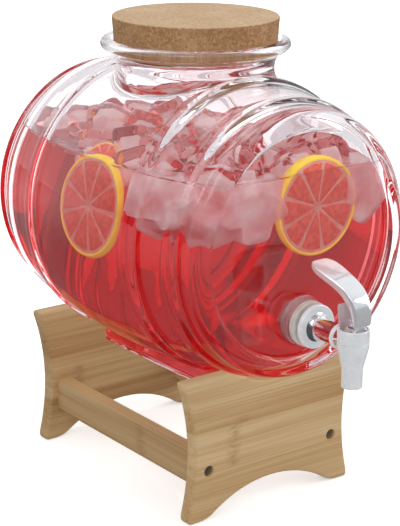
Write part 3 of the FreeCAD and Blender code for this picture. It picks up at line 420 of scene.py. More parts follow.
@dataclass(frozen=True)
class CitrusFlesh(Finish):
    """Grapefruit flesh: wet juice sacs packed side by side, coral with paler skins."""

    label: ClassVar[str] = "citrus_flesh"
    sac: float = 3.2

    def dress(self, on: Surface) -> None:
        """Juice sacs are about 3 mm across; their skins are paler than the juice.

        Args:
            on: The material's nodes.
        """
        sacs = on.add("TexVoronoi", {"Vector": on.place, "Scale": per(self.sac)})
        hue = on.add("ValToRGB", {"Fac": sacs}, [(0.0, "#E03820"), (0.45, "#EC4E34"), (0.8, "#F26A4E")])
        skins = on.add("Bump", {"Height": sacs, "Distance": 0.5 * MM, "Strength": 0.6})
        # The emission is painted glow that brightens the flesh.
        on.fill(base_color=hue, emission_color=hue, emission_strength=0.14, roughness=0.22, ior=1.38,
                subsurface_weight=0.35, subsurface_scale=5 * MM, normal=skins)


@dataclass(frozen=True)
class Bamboo(Finish):
    """Laminated bamboo, sanded and lacquered: fine straight fibres in strips of differing tan.

    A fibre, a band and a knot's dash are patterns with a length, a width and a height in millimetres.
    """

    label: ClassVar[str] = "laminated_bamboo"
    fibre: ClassVar[Point] = (111.11, 2.381, 1.3158)
    band: ClassVar[Point] = (285.71, 11.111, 6.6667)
    dash: ClassVar[Point] = (6.6667, 3.3333, 1.6129)
    grain: Axis = Axis.X
    strip: float = 17.0
    knot_at: float = -28.0
    knot_low: float = 36.0
    knot_high: float = 76.0
    knot_edge: float = 4.0
    pale: str = "#E0C293"
    middle: str = "#D2AE7C"
    deep: str = "#BE935D"
    knot: str = "#96683C"

    def dress(self, on: Surface) -> None:
        """Fibres run along the grain, each glued strip has its own tone, and a knot ring crosses some.

        Real fibres are 0.3 mm thick. They are drawn over 1 mm thick so that they show.

        Args:
            on: The material's nodes.
        """
        along = on.add("Mapping", {"Vector": on.place, "Rotation": (0, 0, self.grain.value)})
        parts = on.add("SeparateXYZ", {"Vector": along}).node.outputs
        fine, broad, dashes = (
            on.add("TexNoise", {
                "Vector": on.add("Mapping", {"Vector": along, "Scale": [per(length) for length in size]}),
                "Scale": 1.0, "Detail": detail, "Roughness": roughness})
            for size, detail, roughness in ((self.fibre, 5.0, 0.62), (self.band, 3.0, 0.5),
                                            (self.dash, 2.0, 0.5)))
        strip = on.add("Math", {0: parts["Z"], 1: self.strip * MM}, operation="DIVIDE")
        number = on.add("Math", {0: strip}, operation="FLOOR")
        tone = on.add("TexWhiteNoise", {"W": number}, noise_dimensions="1D")
        wood = on.add("ValToRGB", {"Fac": on.weigh(-0.02, (fine, 0.5), (broad, 0.5), (tone, 0.14))},
                      [(0.36, self.deep), (0.52, self.middle), (0.7, self.pale)])
        sway = on.weigh(parts["X"], (tone, 9 * MM))
        offset = on.add("Math", {0: sway, 1: self.knot_at * MM}, operation="SUBTRACT")
        away = on.add("Math", {0: offset}, operation="ABSOLUTE")
        edge = self.knot_edge
        ring, above, below, dark = (
            on.add("MapRange", {"Value": value, "From Min": low, "From Max": high})
            for value, low, high in ((away, 8 * MM, 1 * MM),
                                     (parts["Z"], self.knot_low * MM, (self.knot_low + edge) * MM),
                                     (parts["Z"], self.knot_high * MM, (self.knot_high - edge) * MM),
                                     (dashes, 0.3, 0.75)))
        share = on.chain("MULTIPLY", ring, above, below, dark, 0.6)
        gloss = on.add("MapRange", {"Value": fine, "To Min": 0.42, "To Max": 0.6})
        grain = on.add("Bump", {"Height": fine, "Distance": 0.12 * MM, "Strength": 0.35})
        on.fill(base_color=on.layer(wood, (share, linear(self.knot))), roughness=gloss, normal=grain)


@dataclass(frozen=True)
class CorkGranules(Finish):
    """Agglomerated cork: pressed granules of many browns with dark seams and a few fissures."""

    label: ClassVar[str] = "agglomerated_cork"
    granule: float = 1.8
    grit: float = 1.1111
    patch: float = 28.571
    split: Point = (35.714, 35.714, 3.0303)

    def dress(self, on: Surface) -> None:
        """Granules of 1 to 3 mm are glued together; faces that look sideways take darker browns than faces
        that look up, and the side is split along its layers.

        Args:
            on: The material's nodes.
        """
        granules = on.add("TexVoronoi", {"Vector": on.place, "Scale": per(self.granule)}, out="Color")
        grey = on.add("RGBToBW", {"Color": granules})
        grit, patch = (on.add("TexNoise", {"Vector": on.place, "Scale": per(size), "Detail": detail})
                       for size, detail in ((self.grit, 4.0), (self.patch, 3.0)))
        level = on.weigh(0.1, (grey, 0.28), (grit, 0.35), (patch, 0.35))
        top, side = (on.add("ValToRGB", {"Fac": level}, list(zip((0.3, 0.55, 0.75), browns)))
                     for browns in (("#BC9871", "#D0AE89", "#E0C3A2"), ("#875F3C", "#A87D55", "#C59C73")))
        facing = on.add("NewGeometry", out="Normal")
        upward = on.add("SeparateXYZ", {"Vector": facing}, out="Z")
        lying = on.add("MapRange", {"Value": upward, "From Min": 0.3, "From Max": 0.8})
        flat = on.add("Mapping", {"Vector": on.place, "Scale": [per(size) for size in self.split]})
        split = on.add("TexNoise", {"Vector": flat, "Scale": 1.0, "Detail": 3.0})
        fissure = on.add("MapRange", {"Value": split, "From Min": 0.66, "From Max": 0.72, "To Max": 0.55})
        crumbs = on.add("Bump", {"Height": level, "Distance": 0.6 * MM, "Strength": 0.5})
        on.fill(base_color=on.layer(side, (fissure, linear("#6F4826")), (lying, top)), roughness=0.85,
                ior=1.4, normal=crumbs)


@dataclass(frozen=True)
class ChromePlate(Finish):
    """Chrome plating on a moulded tap: a mirror with a faint wiping haze, or satin on an etched face."""

    label: ClassVar[str] = "chrome_plate"
    haze: float = 0.03
    metal: float = 1.0
    pale: str = "#F2F4F6"
    grey: str = "#E8EBEE"
    glow: float = 0.0
    tone: float = 11.111
    smudge: float = 8.3333
    peel: float = 2.5

    def dress(self, on: Surface) -> None:
        """Fingerprints a centimetre wide haze the mirror; orange peel from the moulding is very shallow.

        Args:
            on: The material's nodes.
        """
        hue = on.mottle(self.tone, [(0.3, self.grey), (0.7, self.pale)], Detail=2.0)[1]
        prints = on.add("TexNoise", {"Vector": on.place, "Scale": per(self.smudge), "Detail": 4.0})
        gloss = on.add("MapRange", {"Value": prints, "From Min": 0.4, "From Max": 0.75,
                                    "To Min": self.haze, "To Max": self.haze + 0.06})
        peel = on.add("TexNoise", {"Vector": on.place, "Scale": per(self.peel)})
        skin = on.add("Bump", {"Height": peel, "Distance": 0.02 * MM, "Strength": 0.3})
        on.fill(base_color=hue, metallic=self.metal, roughness=gloss, normal=skin)
        # A glow is painted light: the plating shines a little by itself.
        if self.glow:
            on.fill(emission_color=hue, emission_strength=self.glow)


@dataclass(frozen=True)
class DrawnSteel(Finish):
    """Turned or drawn steel: grey metal with fine rings left by the tool."""

    label: ClassVar[str] = "drawn_stainless_steel"
    tone: str = "#B9BBBD"
    shade: str = "#8D8F92"
    ring: float = 0.5

    def dress(self, on: Surface) -> None:
        """Tool rings 0.1 mm apart are drawn 0.5 mm apart.

        Args:
            on: The material's nodes.
        """
        rings, hue = on.mottle(self.ring, [(0.3, self.shade), (0.7, self.tone)], Detail=3.0)
        gloss = on.add("MapRange", {"Value": rings, "To Min": 0.22, "To Max": 0.4})
        grooves = on.add("Bump", {"Height": rings, "Distance": 0.03 * MM, "Strength": 0.4})
        on.fill(base_color=hue, metallic=1.0, roughness=gloss, normal=grooves)


@dataclass(frozen=True)
class Elastomer(Finish):
    """Moulded silicone or rubber: soft, dull, with a dusty bloom."""

    label: ClassVar[str] = "moulded_silicone"
    tone: str = "#DDD6D0"
    shade: str = "#CFC7C1"
    depth: float = 0.25
    bloom: float = 3.8462

    def dress(self, on: Surface) -> None:
        """Bloom lies in patches of a few millimetres; the mould left a fine texture.

        Args:
            on: The material's nodes.
        """
        bloom, hue = on.mottle(self.bloom, [(0.35, self.shade), (0.7, self.tone)], Detail=4.0)
        gloss = on.add("MapRange", {"Value": bloom, "To Min": 0.35, "To Max": 0.6})
        texture = on.add("Bump", {"Height": bloom, "Distance": 0.05 * MM, "Strength": 0.4})
        on.fill(base_color=hue, roughness=gloss, ior=1.41, subsurface_weight=self.depth,
                subsurface_scale=2 * MM, normal=texture)


@dataclass(frozen=True)
class MouldedNylon(Finish):
    """Moulded nylon nut: off-white plastic with a satin skin, tinged by the drink it stands in."""

    label: ClassVar[str] = "moulded_nylon"
    tone: str = "#E2A0AA"
    shade: str = "#CE868F"
    flow: float = 5.5556
    spark: float = 0.625

    def dress(self, on: Surface) -> None:
        """Flow marks a few millimetres long and a fine spark texture.

        Args:
            on: The material's nodes.
        """
        hue = on.mottle(self.flow, [(0.3, self.shade), (0.7, self.tone)], Detail=3.0, Distortion=0.6)[1]
        spark = on.add("TexNoise", {"Vector": on.place, "Scale": per(self.spark)})
        texture = on.add("Bump", {"Height": spark, "Distance": 0.04 * MM, "Strength": 0.4})
        on.fill(base_color=hue, roughness=0.4, ior=1.53, subsurface_weight=0.1, subsurface_scale=2 * MM,
                normal=texture)


# ---------------------------------------------------------------------------
# Workbench: modelling steps as done by hand
# ---------------------------------------------------------------------------
class Bench:
    """Modelling steps shared by all sub-assemblies. Points are in millimetres in the part's frame."""

    @staticmethod
    def clear() -> None:
        """Leaves object mode with nothing selected."""
        if bpy.context.object and bpy.context.object.mode != "OBJECT":
            bpy.ops.object.mode_set(mode="OBJECT")
        bpy.ops.object.select_all(action="DESELECT")

    @staticmethod
    def pick(item: Item) -> None:
        """Selects one object alone and makes it the active one.

        Args:
            item: The object.
        """
        Bench.clear()
        item.select_set(True)
        bpy.context.view_layer.objects.active = item

    @staticmethod
    def edit(item: Item) -> None:
        """Enters edit mode with the whole of an object selected.

        Args:
            item: The object.
        """
        Bench.pick(item)
        bpy.ops.object.mode_set(mode="EDIT")
        bpy.ops.mesh.select_all(action="SELECT")

    @staticmethod
    def freeze(item: Item) -> None:
        """Moves the object's place, turn and size into its mesh."""
        Bench.pick(item)
        bpy.ops.object.transform_apply(location=True, rotation=True, scale=True)

    @staticmethod
    def line(points: list[Point]) -> Item:
        """Draws an open line by pulling one corner from point to point, and stays in edit mode.

        Args:
            points: Corners of the line.

        Returns:
            The object being edited.
        """
        Bench.clear()
        marks = [Vector(p) * MM for p in points]
        bpy.ops.mesh.primitive_plane_add(size=1 * MM, location=marks[0])
        item = bpy.context.object
        Bench.edit(item)
        bpy.ops.mesh.merge(type="CENTER")
        for here, there in zip(marks, marks[1:]):
            bpy.ops.mesh.extrude_region_move(TRANSFORM_OT_translate={"value": there - here})
        bpy.ops.mesh.select_all(action="SELECT")
        return item

    @staticmethod
    def close_up() -> None:
        """Merges doubles and turns the normals outwards, then leaves edit mode."""
        bpy.ops.mesh.select_all(action="SELECT")
        bpy.ops.mesh.remove_doubles(threshold=0.002 * MM)
        bpy.ops.mesh.dissolve_degenerate(threshold=0.001 * MM)
        bpy.ops.mesh.normals_make_consistent(inside=False)
        bpy.ops.object.mode_set(mode="OBJECT")

    @staticmethod
    def lathe(profile: list[Pair], centre: Point, axis: Point, steps: int = 96) -> Item:
        """Spins a profile about an axis into a closed body.

        Args:
            profile: Pairs of a radius and a distance along the axis, from the axis to the axis.
            centre: The point of the axis that distances are measured from.
            axis: The axis's direction.
            steps: Facets round the body.

        Returns:
            The new object.
        """
        out = RIGHT if axis == UP else UP
        item = Bench.line([tuple(c + o * radius + a * reach for c, o, a in zip(centre, out, axis))
                           for radius, reach in profile])
        bpy.ops.mesh.spin(steps=steps, angle=2 * math.pi, center=Vector(centre) * MM, axis=axis)
        Bench.close_up()
        return item

    @staticmethod
    def prism(points: list[Point], pull: Point) -> Item:
        """Fills a closed outline and pulls it into a block.

        Args:
            points: Corners of the outline; the last one joins the first.
            pull: How far and which way the face is pulled.

        Returns:
            The new object.
        """
        item = Bench.line(points + points[:1])
        bpy.ops.mesh.remove_doubles(threshold=0.01 * MM)
        bpy.ops.mesh.edge_face_add()
        bpy.ops.mesh.extrude_region_move(TRANSFORM_OT_translate={"value": Vector(pull) * MM})
        Bench.close_up()
        return item

    @staticmethod
    def cut_top(item: Item, height: float) -> None:
        """Cuts off what stands above a height and closes the cut.

        Args:
            item: The object to cut.
            height: Height above the table.
        """
        Bench.edit(item)
        bpy.ops.mesh.bisect(plane_co=(0, 0, height * MM), plane_no=UP, use_fill=True, clear_outer=True)
        bpy.ops.object.mode_set(mode="OBJECT")

    @staticmethod
    def modify(item: Item, kind: str, **settings: object) -> None:
        """Adds one modifier and applies it.

        Args:
            item: The object.
            kind: Type of the modifier.
            settings: Its settings.
        """
        Bench.pick(item)
        modifier = item.modifiers.new(kind.title(), kind)
        for name, value in settings.items():
            setattr(modifier, name, value)
        bpy.ops.object.modifier_apply(modifier=modifier.name)

    @staticmethod
    def ease_edges(item: Item, width: float, segments: int, angle: float = 30.0) -> None:
        """Rounds the edges of an object.

        Args:
            item: The object.
            width: Width of the rounding.
            segments: Facets across it.
            angle: Edges that bend less than this, in degrees, are left as they are.
        """
        Bench.modify(item, "BEVEL", width=width * MM, segments=segments, limit_method="ANGLE",
                     angle_limit=math.radians(angle))

    @staticmethod
    def combine(item: Item, tool: Item, way: Cut) -> None:
        """Joins a closed tool shape to an object or carves it out, and throws the tool away.

        Args:
            item: The object that is changed.
            tool: The closed shape that works on it.
            way: What the tool does.
        """
        Bench.modify(item, "BOOLEAN", operation=way.value, solver="EXACT", object=tool)
        bpy.data.meshes.remove(tool.data)

    @staticmethod
    def merge(items: list[Item]) -> Item:
        """Puts several objects' meshes into the first one.

        Args:
            items: The objects.

        Returns:
            The first of them.
        """
        Bench.pick(items[0])
        for item in items[1:]:
            item.select_set(True)
        bpy.ops.object.join()
        return items[0]


def arc(centre: Pair, radius: float, start: float, end: float, steps: int) -> list[Pair]:
    """Points on an arc.

    Args:
        centre: Middle of the arc.
        radius: Its radius.
        start: First angle in degrees.
        end: Last angle in degrees.
        steps: Number of stretches.

    Returns:
        Points from the first to the last angle, both included.
    """
    angles = [math.radians(start + (end - start) * i / steps) for i in range(steps + 1)]
    return [(centre[0] + radius * math.cos(a), centre[1] + radius * math.sin(a)) for a in angles]


def bend(start: Pair, control: Pair, end: Pair, steps: int = 6) -> list[Pair]:
    """Points on a curve that leaves its start towards a control point.

    Args:
        start: Where the curve starts.
        control: The point that it heads for.
        end: Where it ends.
        steps: Number of stretches.

    Returns:
        Points after the start, up to and with the end.
    """
    points = []
    for number in range(1, steps + 1):
        t = number / steps
        weights = ((1 - t) ** 2, 2 * t * (1 - t), t * t)
        points.append(tuple(sum(w * p[i] for w, p in zip(weights, (start, control, end))) for i in (0, 1)))
    return points


def ease(value: float) -> float:
    """Soft step from 0 to 1."""
    value = min(1.0, max(0.0, value))
    return value * value * (3 - 2 * value)


# ---------------------------------------------------------------------------
# Sub-assemblies
# ---------------------------------------------------------------------------
@dataclass
class Assembly:
    """A group of pieces that are modelled and finished together. Sizes are in millimetres."""

    def dress(self, item: Item, name: str, smooth: float, finish: Finish, body: Body, slot: Slot,
              *nodes: str) -> Item:
        """Makes a modelled object a piece of the dispenser.

        Args:
            item: The modelled object.
            name: Name of the piece.
            smooth: Largest angle in degrees that is shaded as a soft edge.
            finish: What it is made of.
            body: The moving group that it belongs to.
            slot: Its material slot; not used.
            nodes: CAD nodes that it stands for.

        Returns:
            The same object.
        """
        Bench.freeze(item)
        item.name = item.data.name = name
        bpy.ops.object.shade_smooth_by_angle(angle=math.radians(smooth))
        item.data.materials.clear()
        item.data.materials.append(finish.material())
        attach(item, body.value)
        if nodes:
            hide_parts(*nodes)
        LOG.info("piece %s: %d faces", item.name, len(item.data.polygons))
        return item

    @staticmethod
    def let_light_in(item: Item) -> None:
        """Keeps a clear body from shading what lies inside it."""
        item.visible_shadow = item.visible_diffuse = False

    @staticmethod
    def refinish(finish: Finish, *nodes: str) -> None:
        """Gives CAD nodes that stay in view a better material.

        Args:
            finish: What they are made of.
            nodes: Names of the nodes.
        """
        for node in nodes:
            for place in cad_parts[node].material_slots:
                place.material = finish.material()
            LOG.info("node %s: %s", node, finish.label)

    @staticmethod
    def refinish_part(item: Item, finish: Finish, chosen: Callable[[Vector], bool]) -> None:
        """Gives some faces of a piece a finish of their own.

        Args:
            item: The piece.
            finish: The finish of those faces.
            chosen: Tells from the middle of a face, in millimetres, whether it is one of them.
        """
        item.data.materials.append(finish.material())
        for face in item.data.polygons:
            face.material_index = int(chosen(face.center / MM))


@dataclass
class GlassBarrel(Assembly):
    """The vessel: a bulged barrel lying on its side with hoops, a neck, a foot and a tap boss."""

    middle: float = 31.7
    height: float = 202.5
    belly: float = 110.3
    stave_radius: float = 435.0
    half_length: float = 127.0
    rim_radius: float = 86.0
    rim_width: float = 4.0
    recess: float = 2.0
    wall: float = 5.0
    hoops: tuple[Pair, ...] = ((57.0, 15.0), (97.0, 12.0))
    hoop_three: float = 117.0
    hoop_height: float = 2.6
    hoop_edge: float = 2.6
    cavity_corner: float = 14.0
    neck_radius: float = 57.6
    neck_wall: float = 4.8
    flare_start: float = 108.5
    lip_radius: float = 69.3
    lip_height: float = 7.9
    mouth_height: float = 128.5
    seat_radius: float = 59.6
    seat_depth: float = 10.3
    mouth_radius: float = 60.7
    foot_drop: float = 116.5
    foot_half_width: float = 37.6
    foot_half_length: float = 71.5
    foot_corner: float = 9.0
    foot_wall: float = 2.6
    boss_radius: float = 16.8
    boss_height: float = 5.9
    hole_radius: float = 8.3
    tap_drop: float = 53.9

    @property
    def face(self) -> float:
        """Distance of the flat ends from the middle."""
        return self.half_length - self.recess

    @property
    def tap_height(self) -> float:
        """Height of the tap hole above the table."""
        return self.height - self.tap_drop

    def stave(self, distance: float) -> float:
        """Radius of the plain staves at a distance from the middle."""
        return self.belly - self.stave_radius + math.sqrt(self.stave_radius**2 - distance**2)

    def lift(self, distance: float) -> float:
        """Height of the hoops above the staves.

        Args:
            distance: Distance from the middle.

        Returns:
            The height there.
        """
        for start, width in self.hoops:
            if start <= distance <= start + width:
                rise = ease((distance - start) / self.hoop_edge)
                fall = 1 - ease((distance - start - 0.5 * width) / (0.5 * width))
                return self.hoop_height * min(rise, fall)
        return self.hoop_height * ease((distance - self.hoop_three) / self.hoop_edge)

    def outside(self) -> list[Pair]:
        """Half profile of the outside.

        Returns:
            Distances and radii, from the middle to the axis at a flat end.
        """
        marks = [0.0, 14.0, 28.0, 42.0, 52.0, 76.0, 83.0, 90.0, 112.0]
        for start, width in self.hoops:
            marks += [start - 0.4 + (width + 0.8) * i / 14 for i in range(15)]
            marks += [start + self.hoop_edge * i / 4 for i in (1, 2, 3)]
        marks += [self.hoop_three + self.hoop_edge * i / 5 for i in range(6)]
        points = [(d, self.stave(d) + self.lift(d)) for d in sorted(set(marks))]
        end, rim, inner = self.half_length, self.rim_radius, self.rim_radius - self.rim_width
        points += bend(points[-1], (end - 0.5, rim + 9), (end, rim + 1), 8)
        points += bend((end, rim - 1), (end, inner), (self.face, inner - 2), 6)
        return points + [(self.face, radius) for radius in (70.0, 50.0, 30.0, 15.0, 0.0)]

    def inside(self, grow: float = 0.0) -> list[Pair]:
        """Half profile of the hollow.

        Args:
            grow: How far the hollow is widened on all sides.

        Returns:
            Distances and radii, from the middle to the axis at a flat end.
        """
        end = self.face - self.wall + grow
        marks = [0.0, 15.0, 30.0, 45.0, 60.0, 75.0, 90.0, end - self.cavity_corner]
        points = [(d, self.stave(d) - self.wall + grow) for d in marks]
        top = points[-1][1]
        points += bend(points[-1], (end, top - 1.5), (end, top - self.cavity_corner), 7)
        return points + [(end, radius) for radius in (60.0, 40.0, 20.0, 0.0)]

    def revolve(self, half: list[Pair], steps: int) -> Item:
        """Spins a half profile and its mirror image about the barrel's axis.

        Args:
            half: Distances and radii, from the middle to the axis at a flat end.
            steps: Facets round the body.

        Returns:
            The new object.
        """
        whole = [(r, -d) for d, r in reversed(half)] + [(r, d) for d, r in half[1:]]
        return Bench.lathe(whole, (0, self.middle, self.height), BACK, steps)

    def upright(self, profile: list[Pair]) -> Item:
        """Spins radii and heights over the barrel's axis about the neck's middle."""
        return Bench.lathe([(r, self.height + h) for r, h in profile], (0, self.middle, 0), UP, 144)

    def saddle(self, x: float, y: float) -> float:
        """Height of the staves above the axis over a point of the plan, from the barrel's middle."""
        radius = self.stave(min(abs(y), 120.0))
        return math.sqrt(max(radius**2 - x**2, 0.0))

    def neck(self) -> Item:
        """Neck with its lip; its skirt is turned low down and then draped over the staves.

        Returns:
            The new object.
        """
        r, top, lip, start = self.neck_radius, self.mouth_height, self.lip_radius, self.flare_start
        sunk, hem, squeeze = 40.0, 7.5, 0.4
        skirt = [(0.0, -8.0), (r + 5.5, -8.0), (r + 5.5, -0.25), (r + 4.0, 0.1), (r + 2.6, 0.8),
                 (r + 1.5, 1.9), (r + 0.6, 3.4), (r + 0.1, 5.4), (r, hem)]
        low = top - self.lip_height
        item = self.upright([
            *((radius, h - sunk) for radius, h in skirt), (r, start),
            *bend((r, start), (r + 0.8, low - 2.5), (lip - 2.5, low), 8),
            *arc((lip - 3.9, low + 3.9), 3.9, -70, 80, 12), *arc((lip - 6.0, top - 1.6), 1.6, 70, 90, 3),
            (0.0, top)])
        for vertex in item.data.vertices:
            x, y, z = (item.matrix_world @ vertex.co) / MM
            if z < self.height + 60:
                room = start - 1.0 - squeeze * (self.height - sunk + hem - z) - (z - self.height)
                vertex.co.z += min(self.saddle(x, y - self.middle) + sunk, room) * MM
        return item

    def mouth(self) -> Item:
        """Hollow of the neck, from inside the barrel to above the lip.

        Returns:
            The new object.
        """
        throat, high, wide = self.neck_radius - self.neck_wall, self.mouth_height, self.mouth_radius
        seat = (self.seat_radius, high - self.seat_depth)
        return self.upright([
            (0.0, 80.0), (throat, 80.0), (throat, self.flare_start),
            *bend((throat, self.flare_start), (throat + 0.5, seat[1] - 2), seat, 6), (wide, high - 1.6),
            *bend((wide, high - 1.6), (wide + 0.2, high - 0.1), (wide + 1.8, high + 0.1), 4),
            (wide + 1.8, high + 2), (0.0, high + 2)])

    def box(self, shrink: float, high: float, edge: float) -> Item:
        """Block with rounded corners for the foot or its hollow.

        Args:
            shrink: How far it stays inside the foot's faces.
            high: Height of its top from the barrel's axis.
            edge: Rounding of its lower edge.

        Returns:
            The new object.
        """
        low, corner = shrink - self.foot_drop, self.foot_corner - shrink
        x, y = self.foot_half_width - shrink, self.foot_half_length - shrink
        outline = []
        for cx, cy, first in ((x, y, 0), (-x, y, 90), (-x, -y, 180), (x, -y, 270)):
            centre = (cx - math.copysign(corner, cx), cy - math.copysign(corner, cy))
            outline += arc(centre, corner, first, first + 90, 6)
        item = Bench.prism([(px, py + self.middle, self.height + low) for px, py in outline],
                           (0, 0, high - low))
        Bench.edit(item)
        bpy.ops.mesh.select_all(action="DESELECT")
        bpy.ops.object.mode_set(mode="OBJECT")
        corners = item.data.vertices
        floor = min(v.co.z for v in corners)
        for line in item.data.edges:
            line.select = all(corners[i].co.z < floor + 0.1 * MM for i in line.vertices)
        bpy.ops.object.mode_set(mode="EDIT")
        bpy.ops.mesh.bevel(offset=edge * MM, segments=4)
        bpy.ops.object.mode_set(mode="OBJECT")
        return item

    def boss(self) -> Item:
        """Raised pad round the tap hole, with a soft edge and a fillet onto the flat end.

        Returns:
            The new object.
        """
        face, front, r = self.face, self.face + self.boss_height, self.boss_radius
        profile = [(0.0, face - 3), (r + 3.0, face - 3), (r + 3.0, face - 0.1),
                   *bend((r + 3.0, face - 0.1), (r, face), (r, face + 3), 5),
                   *bend((r, front - 2), (r, front), (r - 2, front), 5), (0.0, front)]
        return Bench.lathe([(r, self.middle - d) for r, d in profile], (0, 0, self.tap_height), BACK, 72)

    def tap_hole(self) -> Item:
        """Round hole through the boss and the wall.

        Returns:
            The new object.
        """
        start, r = self.middle - self.half_length - self.boss_height - 2, self.hole_radius
        return Bench.lathe([(0.0, start), (r, start), (r, start + 18), (0.0, start + 18)],
                           (0, 0, self.tap_height), BACK, 72)

    def on_boss(self, place: Vector) -> bool:
        """Tells whether a place lies on the raised pad round the tap hole."""
        reach, front = math.hypot(place.x, place.z - self.tap_height), self.middle - self.face - 0.3
        return place.y < front and self.hole_radius * 1.05 < reach < self.boss_radius + 0.5

    def build(self) -> None:
        """Joins the outer shapes, carves the hollow and gives the vessel its glass."""
        shell = self.revolve(self.outside(), 180)
        for shape in (self.neck(), self.box(0.0, -90.0, 2.4), self.boss()):
            Bench.combine(shell, shape, Cut.JOIN)
        hollow = self.revolve(self.inside(), 144)
        for shape in (self.mouth(), self.box(self.foot_wall, -80.0, 3.0), self.tap_hole()):
            Bench.combine(hollow, shape, Cut.JOIN)
        Bench.combine(shell, hollow, Cut.CARVE)
        self.dress(shell, "glass_barrel", 40, PressedGlass(), Body.VESSEL, Slot.GLASS, "glass_vessel")
        # An etched mould leaves the pad frosted; its pink tint is a painted refraction of the red drink seen
        # through the pad.
        self.refinish_part(shell, PressedGlass(tint="#F4C4CC", frost=0.6), self.on_boss)
        self.let_light_in(shell)


@dataclass
class Refreshment(Assembly):
    """What the vessel is shown with: a red drink, floating ice and slices of citrus."""

    vessel: GlassBarrel
    level: float = 253.5
    overlap: float = 0.15
    cube: float = 27.0
    slice_radius: float = 35.5
    seed: int = 11

    def drink(self) -> None:
        """Fills the hollow and the foot, a hair into the wall, and lets the ice stand out of its top.

        Ice and water bend light alike, so that the ice's tops and the drink are one clear body.
        """
        body = self.vessel.revolve(self.vessel.inside(self.overlap), 144)
        Bench.combine(body, self.vessel.box(self.vessel.foot_wall - self.overlap, -80.0, 3.0), Cut.JOIN)
        Bench.cut_top(body, self.level)
        Bench.combine(body, self.melt(self.floating_places(), (0.85, 1.15), 1.7), Cut.JOIN)
        self.dress(body, "iced_red_drink", 40, FruitDrink(level=self.level), Body.VESSEL, Slot.GLASS)
        self.let_light_in(body)

    def ice_cube(self, number: int) -> Item:
        """Models one melted cube at the origin.

        Args:
            number: Each number gives another cube.

        Returns:
            The new object.
        """
        Bench.clear()
        bpy.ops.mesh.primitive_cube_add(size=self.cube * MM)
        item = bpy.context.object
        Bench.edit(item)
        bpy.ops.mesh.bevel(offset=self.cube * 0.13 * MM, segments=2)
        bpy.ops.mesh.subdivide(number_cuts=1)
        bpy.ops.transform.vertex_random(offset=1.3 * MM, seed=self.seed + number)
        bpy.ops.object.mode_set(mode="OBJECT")
        Bench.modify(item, "SUBSURF", levels=1, render_levels=1)
        return item

    def place_cube(self, dice: random.Random, moulds: list[Item], where: Point, scales: Pair) -> Item:
        """Copies one of the cubes to a place, turned and sized at random.

        Args:
            dice: Source of the random numbers.
            moulds: The cubes to choose from.
            where: Middle of the new cube.
            scales: Smallest and largest size, as shares of the plain size.

        Returns:
            The new cube.
        """
        mould = dice.choice(moulds)
        item = mould.copy()
        item.data = mould.data.copy()
        bpy.context.scene.collection.objects.link(item)
        item.rotation_euler = [dice.uniform(0, math.pi) for _ in range(3)]
        item.scale = [dice.uniform(*scales) for _ in range(3)]
        item.location = Vector(where) * MM
        return item

    def melt(self, places: list[Point], scales: Pair, voxel: float) -> Item:
        """Sets cubes at their places and melts them together where they touch.

        Args:
            places: Middles of the cubes.
            scales: Smallest and largest size of a cube, as shares of its plain size.
            voxel: Fineness of the melted surface.

        Returns:
            One closed body, kept inside the hollow.
        """
        dice = random.Random(self.seed + 1)
        moulds = [self.ice_cube(number) for number in range(5)]
        ice = Bench.merge([self.place_cube(dice, moulds, place, scales) for place in places])
        for mould in moulds:
            bpy.data.meshes.remove(mould.data)
        Bench.freeze(ice)
        ice.data.remesh_voxel_size = voxel * MM
        bpy.ops.object.voxel_remesh()
        Bench.modify(ice, "SMOOTH", factor=0.5, iterations=7)
        Bench.combine(ice, self.vessel.revolve(self.vessel.inside(-1.2), 144), Cut.KEEP)
        return ice

    def floating_places(self) -> list[Point]:
        """Scatters the crowded layer of cubes that floats at the line.

        Returns:
            Middles of the cubes that lie inside the barrel.
        """
        dice = random.Random(self.seed)
        v = self.vessel
        places = []
        for row in range(9):
            for column in range(7):
                x = (column - 3) * self.cube + dice.uniform(-6, 6) + (6 if row % 2 else -6)
                y = v.middle + (row - 4) * 25.5 + dice.uniform(-5, 5)
                z = self.level + dice.uniform(-12, 2.5)
                if math.hypot(x, z - v.height + 8) < v.stave(abs(y - v.middle)) - v.wall - 8:
                    places.append((x, y, z))
        return places

    def ice_cores(self) -> None:
        """Cloudy hearts of the floating cubes, seen through their clear skins."""
        cores = self.melt([(x, y, z - 2.0) for x, y, z in self.floating_places()], (0.5, 0.7), 1.9)
        # The cores carry the fogged ice's painted glow.
        self.dress(cores, "cloudy_ice_cores", 60, FoggedIce(pale="#FCF6F5", stained="#EEDCDA"), Body.VESSEL,
                   Slot.GLASS)

    def fogged_ice(self) -> None:
        """Cloudy cubes under the line by the front of the wall, and a large one at the right."""
        places = [(-84, -36, 240), (-78, -52, 236), (-70, -60, 240), (-62, -70, 230), (-50, -74, 236),
                  (-38, -76, 228), (-26, -74, 236), (-76, -34, 228), (58, -74, 238), (72, -64, 236),
                  (64, -74, 226)]
        ice = self.melt(places, (1.0, 1.3), 2.2)
        Bench.cut_top(ice, self.level - 1.0)
        self.dress(ice, "fogged_ice", 60, FoggedIce(), Body.VESSEL, Slot.GLASS)

    @staticmethod
    def segment(number: int, tip: float, outer: float) -> list[Pair]:
        """Outline of one of the nine segments of a slice.

        Args:
            number: Its number, from 0 to 8.
            tip: Distance of its tip from the slice's middle.
            outer: Distance of its outer edge.

        Returns:
            The outline, from the tip to just short of it.
        """
        start, end = number * 40 + 1.0, number * 40 + 39.0
        near, left, right = (arc((0, 0), reach, angle, angle, 1)[0] for reach, angle in
                             ((tip, (start + end) / 2), (outer * 0.5, start), (outer * 0.5, end)))
        rim = arc((0, 0), outer, start + 2.5, end - 2.5, 8)
        return [near, *bend(near, left, rim[0], 4)[:-1], *rim, *bend(rim[-1], right, near, 4)[:-1]]

